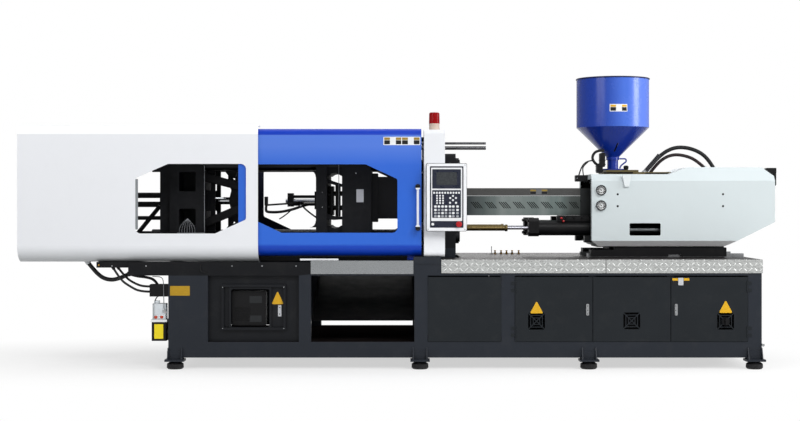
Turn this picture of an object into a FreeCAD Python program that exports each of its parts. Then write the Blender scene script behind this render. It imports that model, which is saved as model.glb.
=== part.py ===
import FreeCAD, Part
import math
import os

# Toggle-clamp injection moulding machine. Millimetres, +X along the machine from the clamp
# to the injection unit, +Y away from the operator, +Z up, floor at z = 0. The origin is
# below the middle of the machine.

V = FreeCAD.Vector

# ---------------------------------------------------------------- driving dimensions
# main axis and widths
axis_z = 960.0            # height of the clamp and barrel axis
half_width = 575.0        # axis to the outer face of the covers
panel_depth = 60.0        # control panel in front of the cover's face
stop_length = 23.0        # stop button in front of the control panel
sheet = 3.0               # thickness of every folded sheet
door_gap = 10.0           # door behind the inside of the clamp cover
handle_out = 36.0         # handle bar in front of the door
handle_half = 12.0        # half the depth of a handle boss
front_reach = panel_depth + stop_length
back_reach = handle_out + handle_half - sheet - door_gap
axis_y = (front_reach - back_reach) / 2
front_y = axis_y - half_width
back_y = axis_y + half_width

# clamp
mould_face_x = 109.0      # face of the fixed platen that the mould is bolted to
mould_length = 314.0      # both mould halves closed
platen_half = 278.0       # square platens, axis to edge
fixed_thickness = 187.0
moving_plate = 171.0      # face plate of the moving platen
ejector_room = 89.0       # gap in the moving platen where the ejector plate travels
moving_wall = 65.0        # back wall of the moving platen
rear_thickness = 263.0
tie_bar_radius = 32.5
tie_bar_offset = 212.0    # tie bars from the axis, in Y and in Z
tie_bar_fit = 0.1         # radial running fit of a platen on its tie bars
nut_radius = 42.0
nut_length = 50.0
left_nut_gap = 5.0        # thread that shows past a nut

# toggle
link_length = 195.0       # pin to pin, the same for rear and front links
toggle_height = 232.0     # ear pins above and below the axis
moving_ear_reach = 180.0  # ear pins behind the back wall of the moving platen
rear_ear_reach = 93.0     # ear pins in front of the rear platen
fold_angle = 78.0         # degrees the rear link turns from locked to fully open
boss_radius = 34.0
pin_radius = 20.0
pin_fit = 0.08            # radial running fit of a link on its pin
open_fit = 0.3            # the same at the pivot that closes the lower chain
drive_radius = 90.0       # crosshead drive pin from the rear ear pin
drive_pin_radius = 14.0
drive_boss = 26.0
link_waist = 50.0         # width of a link between its bosses
slot_slack = 1.5          # play of the drive pin along the slot's width, each side
plate_thickness = 32.0    # links, ears and crosshead plates
crosshead_inner = 46.0    # inner face of the crosshead plates from the machine axis
plate_gap = 4.0           # between neighbouring plates

# clamp cylinder
cylinder_radius = 46.0
cylinder_wall = 6.0
rod_radius = 22.5
piston_length = 30.0
gland_length = 20.0

# base
rail_bottom = 64.0
rail_top = 154.0
beam_bottom = 532.0
beam_top = 608.0
frame_inset = 5.0         # frame behind the outer face of the panels
rail_depth = 80.0
beam_depth = 60.0
leg_depth = 60.0
base_left = -1355.0
base_right = 2030.0
beam_left = -1584.0
ledge_left = -1770.0      # black ledge under the clamp cover's overhang
way_left = -2040.0        # tail of the slide ways, under the clamp cover
way_inner = 190.0
way_outer = 280.0
deck_top = 623.0
deck_lip = 546.0
deck_left = 200.0
tread_sheet = 4.0

# legs: left edge and width
leg_spans = [(-1355.0, 225.0), (-610.0, 68.0), (49.0, 76.0), (545.0, 76.0), (1952.0, 78.0)]
door_posts = [1066.0, 1511.0]   # seams between the three right-hand front covers
post_width = 40.0
post_inset = 20.0

# feet
foot_positions = [-1316.0, 81.0, 1044.0, 1990.0]
foot_pad_radius = 48.5
foot_pad_height = 41.0
foot_stud_radius = 10.0
foot_collar_radius = 17.0
foot_flange = 110.0
foot_flange_bottom = 44.0
foot_flange_top = 56.0
foot_from_edge = 14.0
foot_gusset_top = 121.0
foot_gusset_spread = 39.0
foot_gusset_thickness = 6.0

# clamp covers and doors
cover_left = -2216.0
cover_right = -843.0
back_cover_right = -926.0
cover_bottom = 608.0
cover_top = 1390.0
cover_top_bend = 45.0
cover_bottom_bend = 95.0
cover_return = 150.0
door_left = -956.0
back_door_left = -985.0
door_right = 89.0
door_bottom = 643.0
door_top = 1371.0
door_top_bend = 40.0
door_bottom_bend = 70.0
door_return = 130.0
door_travel = 700.0
window_corner = 30.0

# column, control panel and lamp
column_left = 104.0
column_right = 223.0
column_bottom = 639.0
column_top = 1366.0
column_depth = 200.0
panel_left = 118.0
panel_right = 344.0
panel_bottom = 788.0
panel_top = 1169.0
overlay_thickness = 2.0
stop_x = 300.0
start_x = 152.0
button_z = 826.0
stop_radius = 17.0
start_radius = 8.0
lamp_x = 164.0
lamp_radius = 31.0
lamp_base_height = 36.0
lamp_lens_height = 64.0

# injection unit
barrel_radius = 45.0
barrel_bore = 18.2
barrel_right = 1200.0
nozzle_tip_x = 128.0
screw_radius = 18.0
screw_tail = 150.0
feed_left = 1150.0
feed_right = 1360.0
feed_half = 130.0
guard_left = 370.0
guard_right = 1118.0
guard_half = 82.0
guard_bottom = 872.0
guard_top = 1036.0
carriage_left = 1243.0
carriage_right = 1904.0
carriage_top = 682.0
carriage_half = 240.0
way_bar_inner = 150.0
way_bar_outer = 190.0
way_bar_top = 645.0
way_bar_left = 1085.0
shoe_left = 1100.0
shoe_top = 668.0
shell_left = 1098.0
shell_right = 2179.0
shell_half = 290.0
shell_face_bottom = 723.0
shell_face_top = 1077.0
shell_bottom = 690.0
shell_front_top = 1117.0
shell_rear_top = 1159.0
guide_rod_radius = 20.0
guide_rod_y = 215.0
guide_rod_z = 787.0
shift_y = 165.0           # carriage cylinders from the machine axis
shift_z = 797.0
shift_rod_radius = 10.0
shift_sleeve_radius = 17.0
shift_body_radius = 45.0
shift_body_left = 735.0
shift_body_right = 1074.0

# hopper
hopper_x = 1264.0
hopper_radius = 219.0
hopper_rim_z = 1703.0
hopper_cylinder_z = 1404.0
hopper_cone_z = 1221.0
hopper_neck_radius = 33.0
hopper_base_z = 1146.0
hopper_wall = 2.5
plate_left = 1211.0
plate_right = 1406.0
rail_plate_left = 1193.0
rail_plate_right = 1600.0
rail_plate_half = 110.0

# mechanical safety bar
safety_z = 1277.0
safety_y = axis_y - 120.0
safety_radius = 11.0
safety_right = 483.0
switch_rod_z = 1305.0     # thin rod above the safety bar
switch_rod_radius = 7.5
safety_fit = 2.0          # play of both rods in the lock on the fixed platen

# ---------------------------------------------------------------- values that follow
moving_face_x = mould_face_x - mould_length
moving_back_x = moving_face_x - moving_plate - ejector_room - moving_wall
moving_pin_x = moving_back_x - moving_ear_reach
rear_pin_x = moving_pin_x - 2 * link_length
knee_x = rear_pin_x + link_length
rear_face_x = rear_pin_x - rear_ear_reach
rear_back_x = rear_face_x - rear_thickness
fixed_back_x = mould_face_x + fixed_thickness
platen_bottom = axis_z - platen_half
platen_top = axis_z + platen_half
fold = math.radians(fold_angle)
drive_start = math.pi / 2 - fold / 2          # angle of the drive pin below the rear link
drive_rate = 0.943 * drive_radius             # crosshead travel per radian of the rear link
crosshead_x = rear_pin_x + drive_rate * fold / 2
crosshead_travel = drive_rate * fold
clamp_stroke = 2 * link_length * (1 - math.cos(fold))
link_in = crosshead_inner + plate_thickness + plate_gap
link_out = link_in + plate_thickness
outer_in = link_out + plate_gap
outer_out = outer_in + plate_thickness


# ---------------------------------------------------------------- shape helpers
def box(x0, x1, y0, y1, z0, z1):
    return Part.makeBox(x1 - x0, y1 - y0, z1 - z0, V(x0, y0, z0))


def rod(start, axis, radius, length):
    return Part.makeCylinder(radius, length, V(*start), V(*axis))


def rod_x(x0, x1, y, z, radius):
    return rod((x0, y, z), (1, 0, 0), radius, x1 - x0)


def rod_y(y0, y1, x, z, radius):
    return rod((x, y0, z), (0, 1, 0), radius, y1 - y0)


def rod_z(z0, z1, x, y, radius):
    return rod((x, y, z0), (0, 0, 1), radius, z1 - z0)


def loop(points, place):
    """A closed wire through 2-D points (a, b) or (a, b, r), where r rounds that corner."""
    edges = []
    count = len(points)
    starts, ends = [], []
    for i, point in enumerate(points):
        here = V(point[0], point[1], 0)
        before = V(*points[i - 1][:2], 0)
        after = V(*points[(i + 1) % count][:2], 0)
        radius = point[2] if len(point) > 2 else 0
        if radius <= 0:
            starts.append(here)
            ends.append(here)
            continue
        to_before = (before - here).normalize()
        to_after = (after - here).normalize()
        half = to_before.getAngle(to_after) / 2
        cut = radius / math.tan(half)
        enter = here + to_before * cut
        leave = here + to_after * cut
        bisector = (to_before + to_after).normalize()
        middle = here + bisector * (radius / math.sin(half) - radius)
        starts.append(enter)
        ends.append(leave)
        edges.append((i, Part.Arc(place(enter), place(middle), place(leave)).toShape()))
    arcs = dict(edges)
    wire = []
    for i in range(count):
        if i in arcs:
            wire.append(arcs[i])
        following = starts[(i + 1) % count]
        if (following - ends[i]).Length > 1e-6:
            wire.append(Part.LineSegment(place(ends[i]), place(following)).toShape())
    return Part.Wire(wire)


def prism_y(points, y0, y1):
    """Outline in X and Z, from y0 to y1."""
    wire = loop(points, lambda p: V(p.x, y0, p.y))
    return Part.Face(wire).extrude(V(0, y1 - y0, 0))


def prism_x(points, x0, x1):
    """Outline in Y and Z, from x0 to x1."""
    wire = loop(points, lambda p: V(x0, p.x, p.y))
    return Part.Face(wire).extrude(V(x1 - x0, 0, 0))


def prism_z(points, z0, z1):
    """Outline in X and Y, from z0 to z1."""
    wire = loop(points, lambda p: V(p.x, p.y, z0))
    return Part.Face(wire).extrude(V(0, 0, z1 - z0))


def turned(points, base, axis):
    """A solid of revolution from (distance along the axis, radius) points."""
    profile = loop(points, lambda p: V(p.x, 0, p.y))
    solid = Part.Face(profile).revolve(V(0, 0, 0), V(1, 0, 0), 360)
    turn = FreeCAD.Rotation(V(1, 0, 0), V(*axis))
    solid.Placement = FreeCAD.Placement(V(*base), turn)
    return solid


def fused(*shapes):
    whole = shapes[0].multiFuse(list(shapes[1:])) if len(shapes) > 1 else shapes[0]
    return whole.removeSplitter()


def cut(shape, *tools):
    return shape.cut(list(tools)).removeSplitter()


def mirrored(shape):
    """The same shape on the other side of the machine axis, front to back."""
    return shape.mirror(V(0, axis_y, 0), V(0, 1, 0))


def flipped(shape):
    """The same shape on the other side of the machine axis, top to bottom."""
    return shape.mirror(V(0, 0, axis_z), V(0, 0, 1))


def both_sides(shape):
    return [shape, mirrored(shape)]


def moved(shape, x=0, y=0, z=0):
    copy = shape.copy()
    copy.translate(V(x, y, z))
    return copy


def hose(points, radius, name):
    """A tube along straight runs joined by tangent arcs, with its length and bend radii."""
    pts = [V(*p) for p in points]
    runs = [(b - a).Length for a, b in zip(pts, pts[1:])]
    edges, start, radii, length = [], pts[0], [], 0.0
    for i in range(1, len(pts) - 1):
        back = (pts[i - 1] - pts[i]).normalize()
        ahead = (pts[i + 1] - pts[i]).normalize()
        turn = math.pi - back.getAngle(ahead)
        reach = 0.45 * min(runs[i - 1], runs[i])
        bend = reach / math.tan(turn / 2)
        enter, leave = pts[i] + back * reach, pts[i] + ahead * reach
        inward = (back + ahead).normalize()
        middle = pts[i] + inward * (bend / math.cos(turn / 2) - bend)
        edges.append(Part.LineSegment(start, enter).toShape())
        edges.append(Part.Arc(enter, middle, leave).toShape())
        length += (enter - start).Length + bend * turn
        radii.append(round(bend))
        start = leave
    edges.append(Part.LineSegment(start, pts[-1]).toShape())
    length += (pts[-1] - start).Length
    path = Part.Wire(edges)
    section = Part.Wire(Part.makeCircle(radius, pts[0], pts[1] - pts[0]))
    tube = path.makePipeShell([section], True, False)
    share = tube.Volume / (math.pi * radius**2 * length)
    print(f"{name}: length {length:.0f}, radii {radii}, volume share {share:.3f}")
    return tube


def write(name, *shapes):
    solids = [s for shape in shapes for s in shape.Solids]
    Part.Compound(solids).exportStep(f"parts/{name}.step")


# ---------------------------------------------------------------- base
def base_frame():
    inner_front = front_y + frame_inset
    parts = []
    for depth, left, bottom, top in (
        (rail_depth, base_left, rail_bottom, rail_top),
        (beam_depth, beam_left, beam_bottom, beam_top),
    ):
        side = box(left, base_right, inner_front, inner_front + depth, bottom, top)
        parts += both_sides(side)
    for left, width in leg_spans:
        leg = box(left, left + width, inner_front, inner_front + leg_depth, rail_top, beam_bottom)
        parts += both_sides(leg)
    for seam in door_posts:
        y = front_y + post_inset
        post = box(seam - post_width / 2, seam + post_width / 2, y, y + leg_depth,
                   rail_top, beam_bottom)
        parts += both_sides(post)
    inner_back = back_y - frame_inset
    for left, width in leg_spans:
        beam = min(width, 60.0)
        at = left if left < 0 else left + width - beam
        for bottom in (rail_bottom, beam_top - beam):
            parts.append(box(at, at + beam, inner_front, inner_back, bottom, bottom + beam))
    parts.append(box(beam_left, beam_left + beam_depth, inner_front, inner_back,
                     beam_bottom, beam_top))
    way = box(way_left, fixed_back_x, axis_y + way_inner, axis_y + way_outer,
              beam_top, platen_bottom)
    parts += both_sides(way)
    for x in (way_left, rear_back_x + 40, moving_back_x, mould_face_x):
        parts.append(box(x, x + 60, axis_y - way_outer, axis_y + way_outer,
                         beam_top - 60 if x > beam_left else beam_top, beam_top + 20))
    tank = box(621 + 20, door_posts[0] - 60, axis_y - 60, inner_back - leg_depth,
               rail_top, beam_bottom - 40)
    neck = rod_z(beam_bottom - 41, beam_bottom - 10, 760, axis_y + 60, 45)
    parts += [tank, neck]
    floor = box(base_left, base_right, inner_front + rail_depth - 1,
                inner_back - rail_depth + 1, rail_top - 4, rail_top)
    parts.append(floor)
    ledge = box(ledge_left, beam_left + 1, front_y + 30, front_y + 160, 576, beam_top)
    parts += both_sides(ledge)
    parts += [stub(beam_hose_route, 15, 30, "far"), stub(lube_hose_route, 9, 16, "near"),
              stub(return_hose_route, 9, 16, "near")]
    pad = box(44, deck_left, front_y + 1, front_y + leg_depth, beam_top - 10, column_bottom)
    parts += both_sides(pad)
    for x in foot_positions:
        parts += both_sides(foot_bracket(x))
    return fused(*parts)


def foot_bracket(x):
    """Gusseted bracket on the lower rail, with the hole for a foot's stud."""
    y = front_y + foot_from_edge
    face = front_y + frame_inset
    half = foot_flange / 2
    front = y - half + 6
    plate = box(x - half, x + half, front, y + 40, foot_flange_bottom, foot_flange_top)
    back = box(x - half + 10, x + half - 10, face - 4, face + 1, foot_flange_top - 1,
               foot_gusset_top - 20)
    spacer = box(x - half + 10, x + half - 10, y + 20, y + 40, foot_flange_top - 1,
                 rail_bottom + 1)
    parts = [plate, back, spacer]
    for side in (-1, 1):
        middle = x + side * foot_gusset_spread
        parts.append(prism_x([(face + 1, foot_flange_top - 1), (front + 6, foot_flange_top - 1),
                              (face - 8, foot_gusset_top), (face + 1, foot_gusset_top)],
                             middle - foot_gusset_thickness / 2,
                             middle + foot_gusset_thickness / 2))
    hole = rod_z(foot_flange_bottom - 1, rail_bottom, x, y, foot_stud_radius + 0.5)
    return cut(fused(*parts), hole)


def levelling_foot(x):
    y = front_y + foot_from_edge
    profile = [(0, 0), (0, foot_pad_radius - 8), (foot_pad_height * 0.2, foot_pad_radius),
               (foot_pad_height * 0.7, foot_pad_radius - 1),
               (foot_pad_height * 0.9, foot_pad_radius - 12),
               (foot_pad_height, foot_pad_radius * 0.6),
               (foot_pad_height, foot_collar_radius), (foot_flange_bottom, foot_collar_radius),
               (foot_flange_bottom, foot_stud_radius), (rail_bottom - 1, foot_stud_radius),
               (rail_bottom - 1, 0)]
    return turned(profile, (x, y, 0), (0, 0, 1))


def levelling_feet():
    feet = []
    for x in foot_positions:
        feet += both_sides(levelling_foot(x))
    return feet


def service_panel():
    """Set-back panel at the left with a raised frame round an opening."""
    left = leg_spans[0][0] + leg_spans[0][1]
    right = leg_spans[1][0]
    y = front_y + 40
    plate = box(left, right, y, y + sheet, rail_top, beam_bottom)
    frame = box(-1054, -686, y - 22, y, 220, 480)
    room = box(-1054 + 14, -686 - 14, y - 23, y - 3, 220 + 14, 480 - 14)
    opening = prism_y([(-999, 236, 12), (-780, 236, 12), (-780, 454, 12), (-999, 454, 12)],
                      y - 30, y + 10)
    surround = box(-999 - 12, -780 + 12, y - 16, y, 236 - 10, 454 + 10)
    return cut(fused(plate, cut(frame, room), surround), opening)


def front_panels():
    y = front_y + 2
    depth = y + sheet
    plain = box(leg_spans[2][0] + leg_spans[2][1] + 2, leg_spans[3][0] - 2, y, depth,
                rail_top + 2, beam_bottom - 8)
    middle = box(door_posts[0] + 2, door_posts[1] - 2, y, depth, rail_top + 2, beam_bottom - 8)
    middle = vented(middle, middle_vent, y)
    backing = box(plain.BoundBox.XMin - 2, plain.BoundBox.XMax + 2, depth,
                  depth + 12, rail_top + 40, beam_bottom - 60)
    frame = [box(door_posts[0] + post_width / 2 - 12, door_posts[0] + post_width / 2 + 4,
                 depth, front_y + post_inset, rail_top + 60, beam_bottom - 60),
             box(door_posts[1] - post_width / 2 - 4, door_posts[1] - post_width / 2 + 12,
                 depth, front_y + post_inset, rail_top + 60, beam_bottom - 60)]
    hinges = fixed_hinges(*left_opening) + fixed_hinges(*right_opening)
    return [service_panel(), fused(plain, backing), fused(middle, *frame), *hinges]


def vented(sheet_metal, vent, y):
    """The sheet with a square vent that a guard of square rings and crossed bars covers."""
    left, right, bottom, top = vent
    hole = box(left, right, y - 5, y + 10, bottom, top)
    bars = []
    for inset in (12, 27):
        ring = box(left + inset, right - inset, y, y + sheet, bottom + inset, top - inset)
        room = box(left + inset + 5, right - inset - 5, y - 1, y + sheet + 1,
                   bottom + inset + 5, top - inset - 5)
        bars.append(cut(ring, room))
    for z0, z1 in ((bottom, top), (top, bottom)):
        bars.append(prism_y([(left - 1, z0 - 4), (left - 1, z0 + 4), (right + 1, z1 + 4),
                             (right + 1, z1 - 4)], y, y + sheet))
    return fused(cut(sheet_metal, hole), *bars)


def back_panels():
    """Sheets on the back and the right-hand end of the base."""
    y1 = back_y - 2
    y0 = y1 - sheet
    spans = [(leg_spans[0][0] + leg_spans[0][1], leg_spans[1][0]),
             (leg_spans[2][0] + leg_spans[2][1], leg_spans[3][0]),
             (leg_spans[3][0] + leg_spans[3][1], door_posts[0]),
             (door_posts[0], door_posts[1]),
             (door_posts[1], leg_spans[4][0])]
    panels = []
    for left, right in spans:
        panel = box(left + 2, right - 2, y0, y1, rail_top + 2, beam_bottom - 8)
        edge = box(left, left + 14, y0 - 12, y0, rail_top + 60, beam_bottom - 60)
        panels.append(fused(panel, edge, moved(edge, x=right - left - 14)))
    end = box(base_right, base_right + sheet, front_y + 40, back_y - 40,
              rail_bottom + 20, beam_bottom)
    panels.append(end)
    return panels


def deck_plates():
    """Tread plate round the injection unit and the polished plate below the front door."""
    right = base_right + 1
    top = box(deck_left, right, front_y, back_y, deck_top - tread_sheet, deck_top)
    lip = box(deck_left, right, front_y, front_y + tread_sheet, deck_lip, deck_top)
    end = box(right, right + tread_sheet, front_y, back_y, deck_lip, deck_top)
    notch = box(deck_left - 1, fixed_back_x + 30, axis_y - way_outer - 8,
                axis_y + way_outer + 8, deck_lip, deck_top + 1)
    corner = box(deck_left - 1, deck_left + 3, front_y - 1, front_y + 70, deck_lip, deck_top + 1)
    tread = cut(fused(top, lip, mirrored(lip), end), notch, corner, mirrored(corner))
    left = leg_spans[1][0] + leg_spans[1][1]
    bearers = [box(x, x + 30, front_y + 80, back_y - 80, beam_top, deck_top - tread_sheet)
               for x in (545, 1050, 1500, 1960)]
    shelf_z = deck_top - 6
    drip = box(left, 43, front_y, front_y + 44, shelf_z - 6, shelf_z)
    drip_lip = box(left, 43, front_y, front_y + tread_sheet, beam_bottom + 9, shelf_z)
    foot = box(left, 43, front_y + 20, front_y + 40, beam_top, shelf_z - 6)
    return [fused(tread, *bearers), fused(drip, drip_lip, foot)]


def product_chute():
    """Slide under the mould space that turns products out to the front of the bay."""
    left = leg_spans[1][0] + leg_spans[1][1] + 4
    right = leg_spans[2][0] - 4
    y_low, z_low = front_y + 90, 268.0
    y_high, z_high = back_y - 90, beam_bottom
    slope = math.atan2(z_high - z_low, y_high - y_low)
    rise = sheet / math.cos(slope)
    plate = prism_x([(y_low, z_low), (y_high, z_high), (y_high, z_high + rise),
                     (y_low, z_low + rise)], left, right)
    wall = prism_x([(y_low, z_low), (y_high, z_high), (y_high, z_high + 40),
                    (y_low + 60, z_low + 110), (y_low, z_low + 60)], left, left + sheet)
    other = moved(wall, x=right - left - sheet)
    hook = box(left, right, y_high, y_high + 26, z_high - 3, z_high)
    return fused(plate, wall, other, hook)


# ---------------------------------------------------------------- platens and tie bars
def platen_corners(half):
    return [(-half, -half, 26), (half, -half, 26), (half, half, 26), (-half, half, 26)]


def square_block(x0, x1, half):
    outline = [(axis_y + a, axis_z + b, r) for a, b, r in platen_corners(half)]
    return prism_x(outline, x0, x1)


def tie_bar_places():
    return [(axis_y + a * tie_bar_offset, axis_z + b * tie_bar_offset)
            for a in (-1, 1) for b in (-1, 1)]


def tie_bar_holes(x0, x1, radius):
    return [rod_x(x0 - 1, x1 + 1, y, z, radius) for y, z in tie_bar_places()]


def mould_holes(x, depth, direction):
    """Tapped holes for mould clamps, on a square grid round the locating bore."""
    holes = []
    for a in (-1, 1):
        for b in (-1, 1):
            for reach_y, reach_z in ((105, 160), (160, 105)):
                y = axis_y + a * reach_y
                z = axis_z + b * reach_z
                holes.append(rod((x, y, z), (direction, 0, 0), 7, depth))
    return holes


def fixed_platen():
    body = square_block(mould_face_x, fixed_back_x, platen_half)
    foot = box(mould_face_x, fixed_back_x, axis_y - way_outer, axis_y - way_inner,
               platen_bottom, platen_bottom + 40)
    recess = turned([(0, 0), (0, 50), (16, 50), (16, 34), (30, 34), (60, 95),
                     (fixed_thickness + 1, 120), (fixed_thickness + 1, 0)],
                    (mould_face_x, axis_y, axis_z), (1, 0, 0))
    pocket = prism_x([(axis_y - 150, axis_z + 140, 12), (axis_y + 150, axis_z + 140, 12),
                      (axis_y + 150, axis_z + 230, 12), (axis_y - 150, axis_z + 230, 12)],
                     fixed_back_x - 110, fixed_back_x + 1)
    lug_left, lug_right = mould_face_x + 20, mould_face_x + 110
    lug = box(lug_left, lug_right, safety_y - 30, safety_y + 30, platen_top - 5,
              switch_rod_z + 22)
    bar_holes = [rod_x(lug_left - 1, lug_right + 1, safety_y, z, r + safety_fit)
                 for z, r in ((safety_z, safety_radius), (switch_rod_z, switch_rod_radius))]
    robot_holes = [rod((mould_face_x + 60 + i * 90, axis_y + 60 + j * 100, platen_top),
                       (0, 0, -1), 7, 30) for i in (0, 1) for j in (0, 1)]
    shift_seats = [rod_x(fixed_back_x - 30, fixed_back_x + 1, axis_y + s * shift_y, shift_z,
                         shift_sleeve_radius) for s in (-1, 1)]
    solid = fused(body, foot, mirrored(foot), lug)
    return cut(solid, recess, pocket, flipped(pocket), *bar_holes, *robot_holes, *shift_seats,
               *tie_bar_holes(mould_face_x, fixed_back_x, tie_bar_radius),
               *mould_holes(mould_face_x, 35, 1))


def ear_outline(pin_x, root_x, height):
    """Side view of a pair of ears that hold a pin, from a platen face at root_x."""
    side = 1 if pin_x > root_x else -1
    low = height - boss_radius
    top = height + boss_radius
    return [(root_x, low - 20), (root_x + side * 46, low, 20), (pin_x, low),
            (pin_x, top), (root_x, top + 8)]


def ears(pin_x, root_x, y0, y1):
    """Upper pair of ears, one each side of the machine axis."""
    ends = [(a, axis_z + b) if len(p) < 3 else (a, axis_z + b, p[2])
            for p in ear_outline(pin_x, root_x, toggle_height) for a, b in [p[:2]]]
    arm = prism_y(ends, axis_y + y0, axis_y + y1)
    boss = rod_y(axis_y + y0, axis_y + y1, pin_x, axis_z + toggle_height, boss_radius)
    bore = rod_y(axis_y + y0 - 1, axis_y + y1 + 1, pin_x, axis_z + toggle_height, pin_radius)
    ear = cut(fused(arm, boss), bore)
    return both_sides(ear)


def rear_platen():
    body = square_block(rear_back_x, rear_face_x, platen_half)
    foot = box(rear_back_x, rear_face_x, axis_y - way_outer, axis_y - way_inner,
               platen_bottom, platen_bottom + 30)
    pockets = []
    for low, high in ((55, 169), (-150, -47)):
        left = rear_back_x + 118
        outline = [(left, axis_z + low, 8), (left + 98, axis_z + low, 8),
                   (left + 98, axis_z + high, 8), (left, axis_z + high, 8)]
        pockets.append(prism_y(outline, axis_y - platen_half - 1, axis_y - 100))
        pockets.append(prism_y(outline, axis_y + 100, axis_y + platen_half + 1))
    step = box(rear_back_x - 1, rear_back_x + 62, axis_y - platen_half - 1,
               axis_y - platen_half + 34, platen_bottom - 1, platen_top + 1)
    bore = rod_x(rear_back_x - 1, rear_face_x + 1, axis_y, axis_z, cylinder_radius)
    bar = prism_y([(rear_face_x - 5, platen_bottom + 12), (rear_face_x + 50, platen_bottom + 12),
                   (rear_face_x + 50, platen_top - 12), (rear_face_x - 5, platen_top - 12)],
                  axis_y + outer_in, axis_y + outer_out)
    windows = [prism_y([(rear_face_x, axis_z + low, 4), (rear_face_x + 27, axis_z + low, 4),
                        (rear_face_x + 27, axis_z + high, 4), (rear_face_x, axis_z + high, 4)],
                       axis_y + outer_in - 1, axis_y + outer_out + 1)
               for low, high in ((62, 122), (-122, -62))]
    bar = cut(bar, *windows)
    upper = ears(rear_pin_x, rear_face_x - 2, outer_in, outer_out)
    lower = [flipped(e) for e in upper]
    solid = fused(body, foot, mirrored(foot), bar, mirrored(bar), *upper, *lower)
    solid = cut(solid, *pockets, step, mirrored(step), bore,
                *tie_bar_holes(rear_back_x, rear_face_x, tie_bar_radius))
    pin = rod_y(axis_y - outer_out, axis_y + outer_out, rear_pin_x, axis_z + toggle_height,
                pin_radius)
    return [solid, pin, flipped(pin)]


def moving_platen():
    """Casting in two solids that meet behind the mould plate, and its two toggle pins."""
    front_back = moving_face_x - moving_plate
    wall_front = moving_back_x + moving_wall
    plate = square_block(front_back, moving_face_x, platen_half)
    wall = square_block(moving_back_x, wall_front, platen_half)
    bridge = box(wall_front, front_back, axis_y - platen_half + 40, axis_y + platen_half - 40,
                 axis_z + 150, platen_top)
    arch = rod_y(axis_y - platen_half, axis_y + platen_half, (wall_front + front_back) / 2,
                 axis_z + 120, ejector_room / 2)
    bridge = cut(bridge, arch)
    guide_lug = box(front_back + 20, moving_face_x - 20, axis_y - way_outer, axis_y - way_inner,
                    platen_bottom + 0.3, platen_bottom + 40)
    bracket = box(front_back + 30, front_back + 110, safety_y - 30, safety_y + 30,
                  platen_top - 5, switch_rod_z + 20)
    bar_bores = [rod_x(front_back + 20, front_back + 120, safety_y, z, r)
                 for z, r in ((safety_z, safety_radius), (switch_rod_z, switch_rod_radius))]
    upper = ears(moving_pin_x, moving_back_x + 2, link_in, link_out)
    lower = [flipped(e) for e in upper]
    solid = fused(plate, wall, bridge, flipped(bridge), guide_lug, mirrored(guide_lug),
                  bracket, *upper, *lower)
    locating = turned([(0, 0), (0, 50), (12, 50), (12, 30), (40, 30), (40, 0)],
                      (moving_face_x, axis_y, axis_z), (-1, 0, 0))
    ejector_holes = [rod_x(front_back - 1, moving_face_x + 1, axis_y + a * 50, axis_z + b * 50,
                           10) for a in (-1, 1) for b in (-1, 1)]
    ejector_rod = rod_x(moving_back_x - 1, wall_front + 1, axis_y, axis_z, 13)
    underside = box(moving_back_x - 1, moving_face_x + 1, axis_y - platen_half - 1,
                    axis_y + platen_half + 1, platen_bottom - 1, platen_bottom + 0.3)
    solid = cut(solid, locating, ejector_rod, *bar_bores, underside, *ejector_holes,
                *tie_bar_holes(moving_back_x, moving_face_x, tie_bar_radius + tie_bar_fit),
                *mould_holes(moving_face_x, 35, -1))
    ahead = box(front_back, moving_face_x + 1, axis_y - way_outer - 1, axis_y + way_outer + 1,
                platen_bottom - 1, switch_rod_z + 21)
    pin = rod_y(axis_y - outer_out, axis_y + outer_out, moving_pin_x, axis_z + toggle_height,
                pin_radius)
    return [cut(solid, ahead), solid.common(ahead).Solids[0], pin, flipped(pin)]


def tie_bars():
    """Four tie bars, each with a nut behind the rear platen and one behind the fixed one."""
    solids = []
    for y, z in tie_bar_places():
        left = rear_back_x - nut_length - left_nut_gap
        right = fixed_back_x + 26
        solids.append(rod_x(left, right, y, z, tie_bar_radius))
        for x0, x1 in ((rear_back_x - nut_length, rear_back_x), (fixed_back_x, fixed_back_x + 20)):
            nut = rod_x(x0, x1, y, z, nut_radius)
            solids.append(cut(nut, rod_x(x0 - 1, x1 + 1, y, z, tie_bar_radius)))
    return solids


def safety_bar():
    """Bar on the moving platen that slides through the lock on the fixed platen, with the
    thin switch rod above it."""
    left = moving_face_x - moving_plate + 10
    bar = rod_x(left, safety_right, safety_y, safety_z, safety_radius)
    rod_above = rod_x(left, safety_right, safety_y, switch_rod_z, switch_rod_radius)
    return [bar, rod_above]


# ---------------------------------------------------------------- toggle mechanism
def side_plate(bosses, waist, y0, y1):
    """A link plate round (x, z, radius) bosses: straight sides joining each pair in turn."""
    shapes = [rod_y(y0, y1, x, z, r) for x, z, r in bosses]
    for (xa, za, ra), (xb, zb, rb) in zip(bosses, bosses[1:]):
        along = V(xb - xa, 0, zb - za).normalize()
        across = V(-along.z, 0, along.x)
        half_a = min(ra, waist / 2)
        half_b = min(rb, waist / 2)
        corners = [V(xa, y0, za) + across * half_a, V(xb, y0, zb) + across * half_b,
                   V(xb, y0, zb) - across * half_b, V(xa, y0, za) - across * half_a]
        face = Part.Face(Part.makePolygon(corners + corners[:1]))
        shapes.append(face.extrude(V(0, y1 - y0, 0)))
    return fused(*shapes)


def drive_pin_place():
    return (rear_pin_x + drive_radius * math.cos(drive_start),
            axis_z + toggle_height - drive_radius * math.sin(drive_start))


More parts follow.
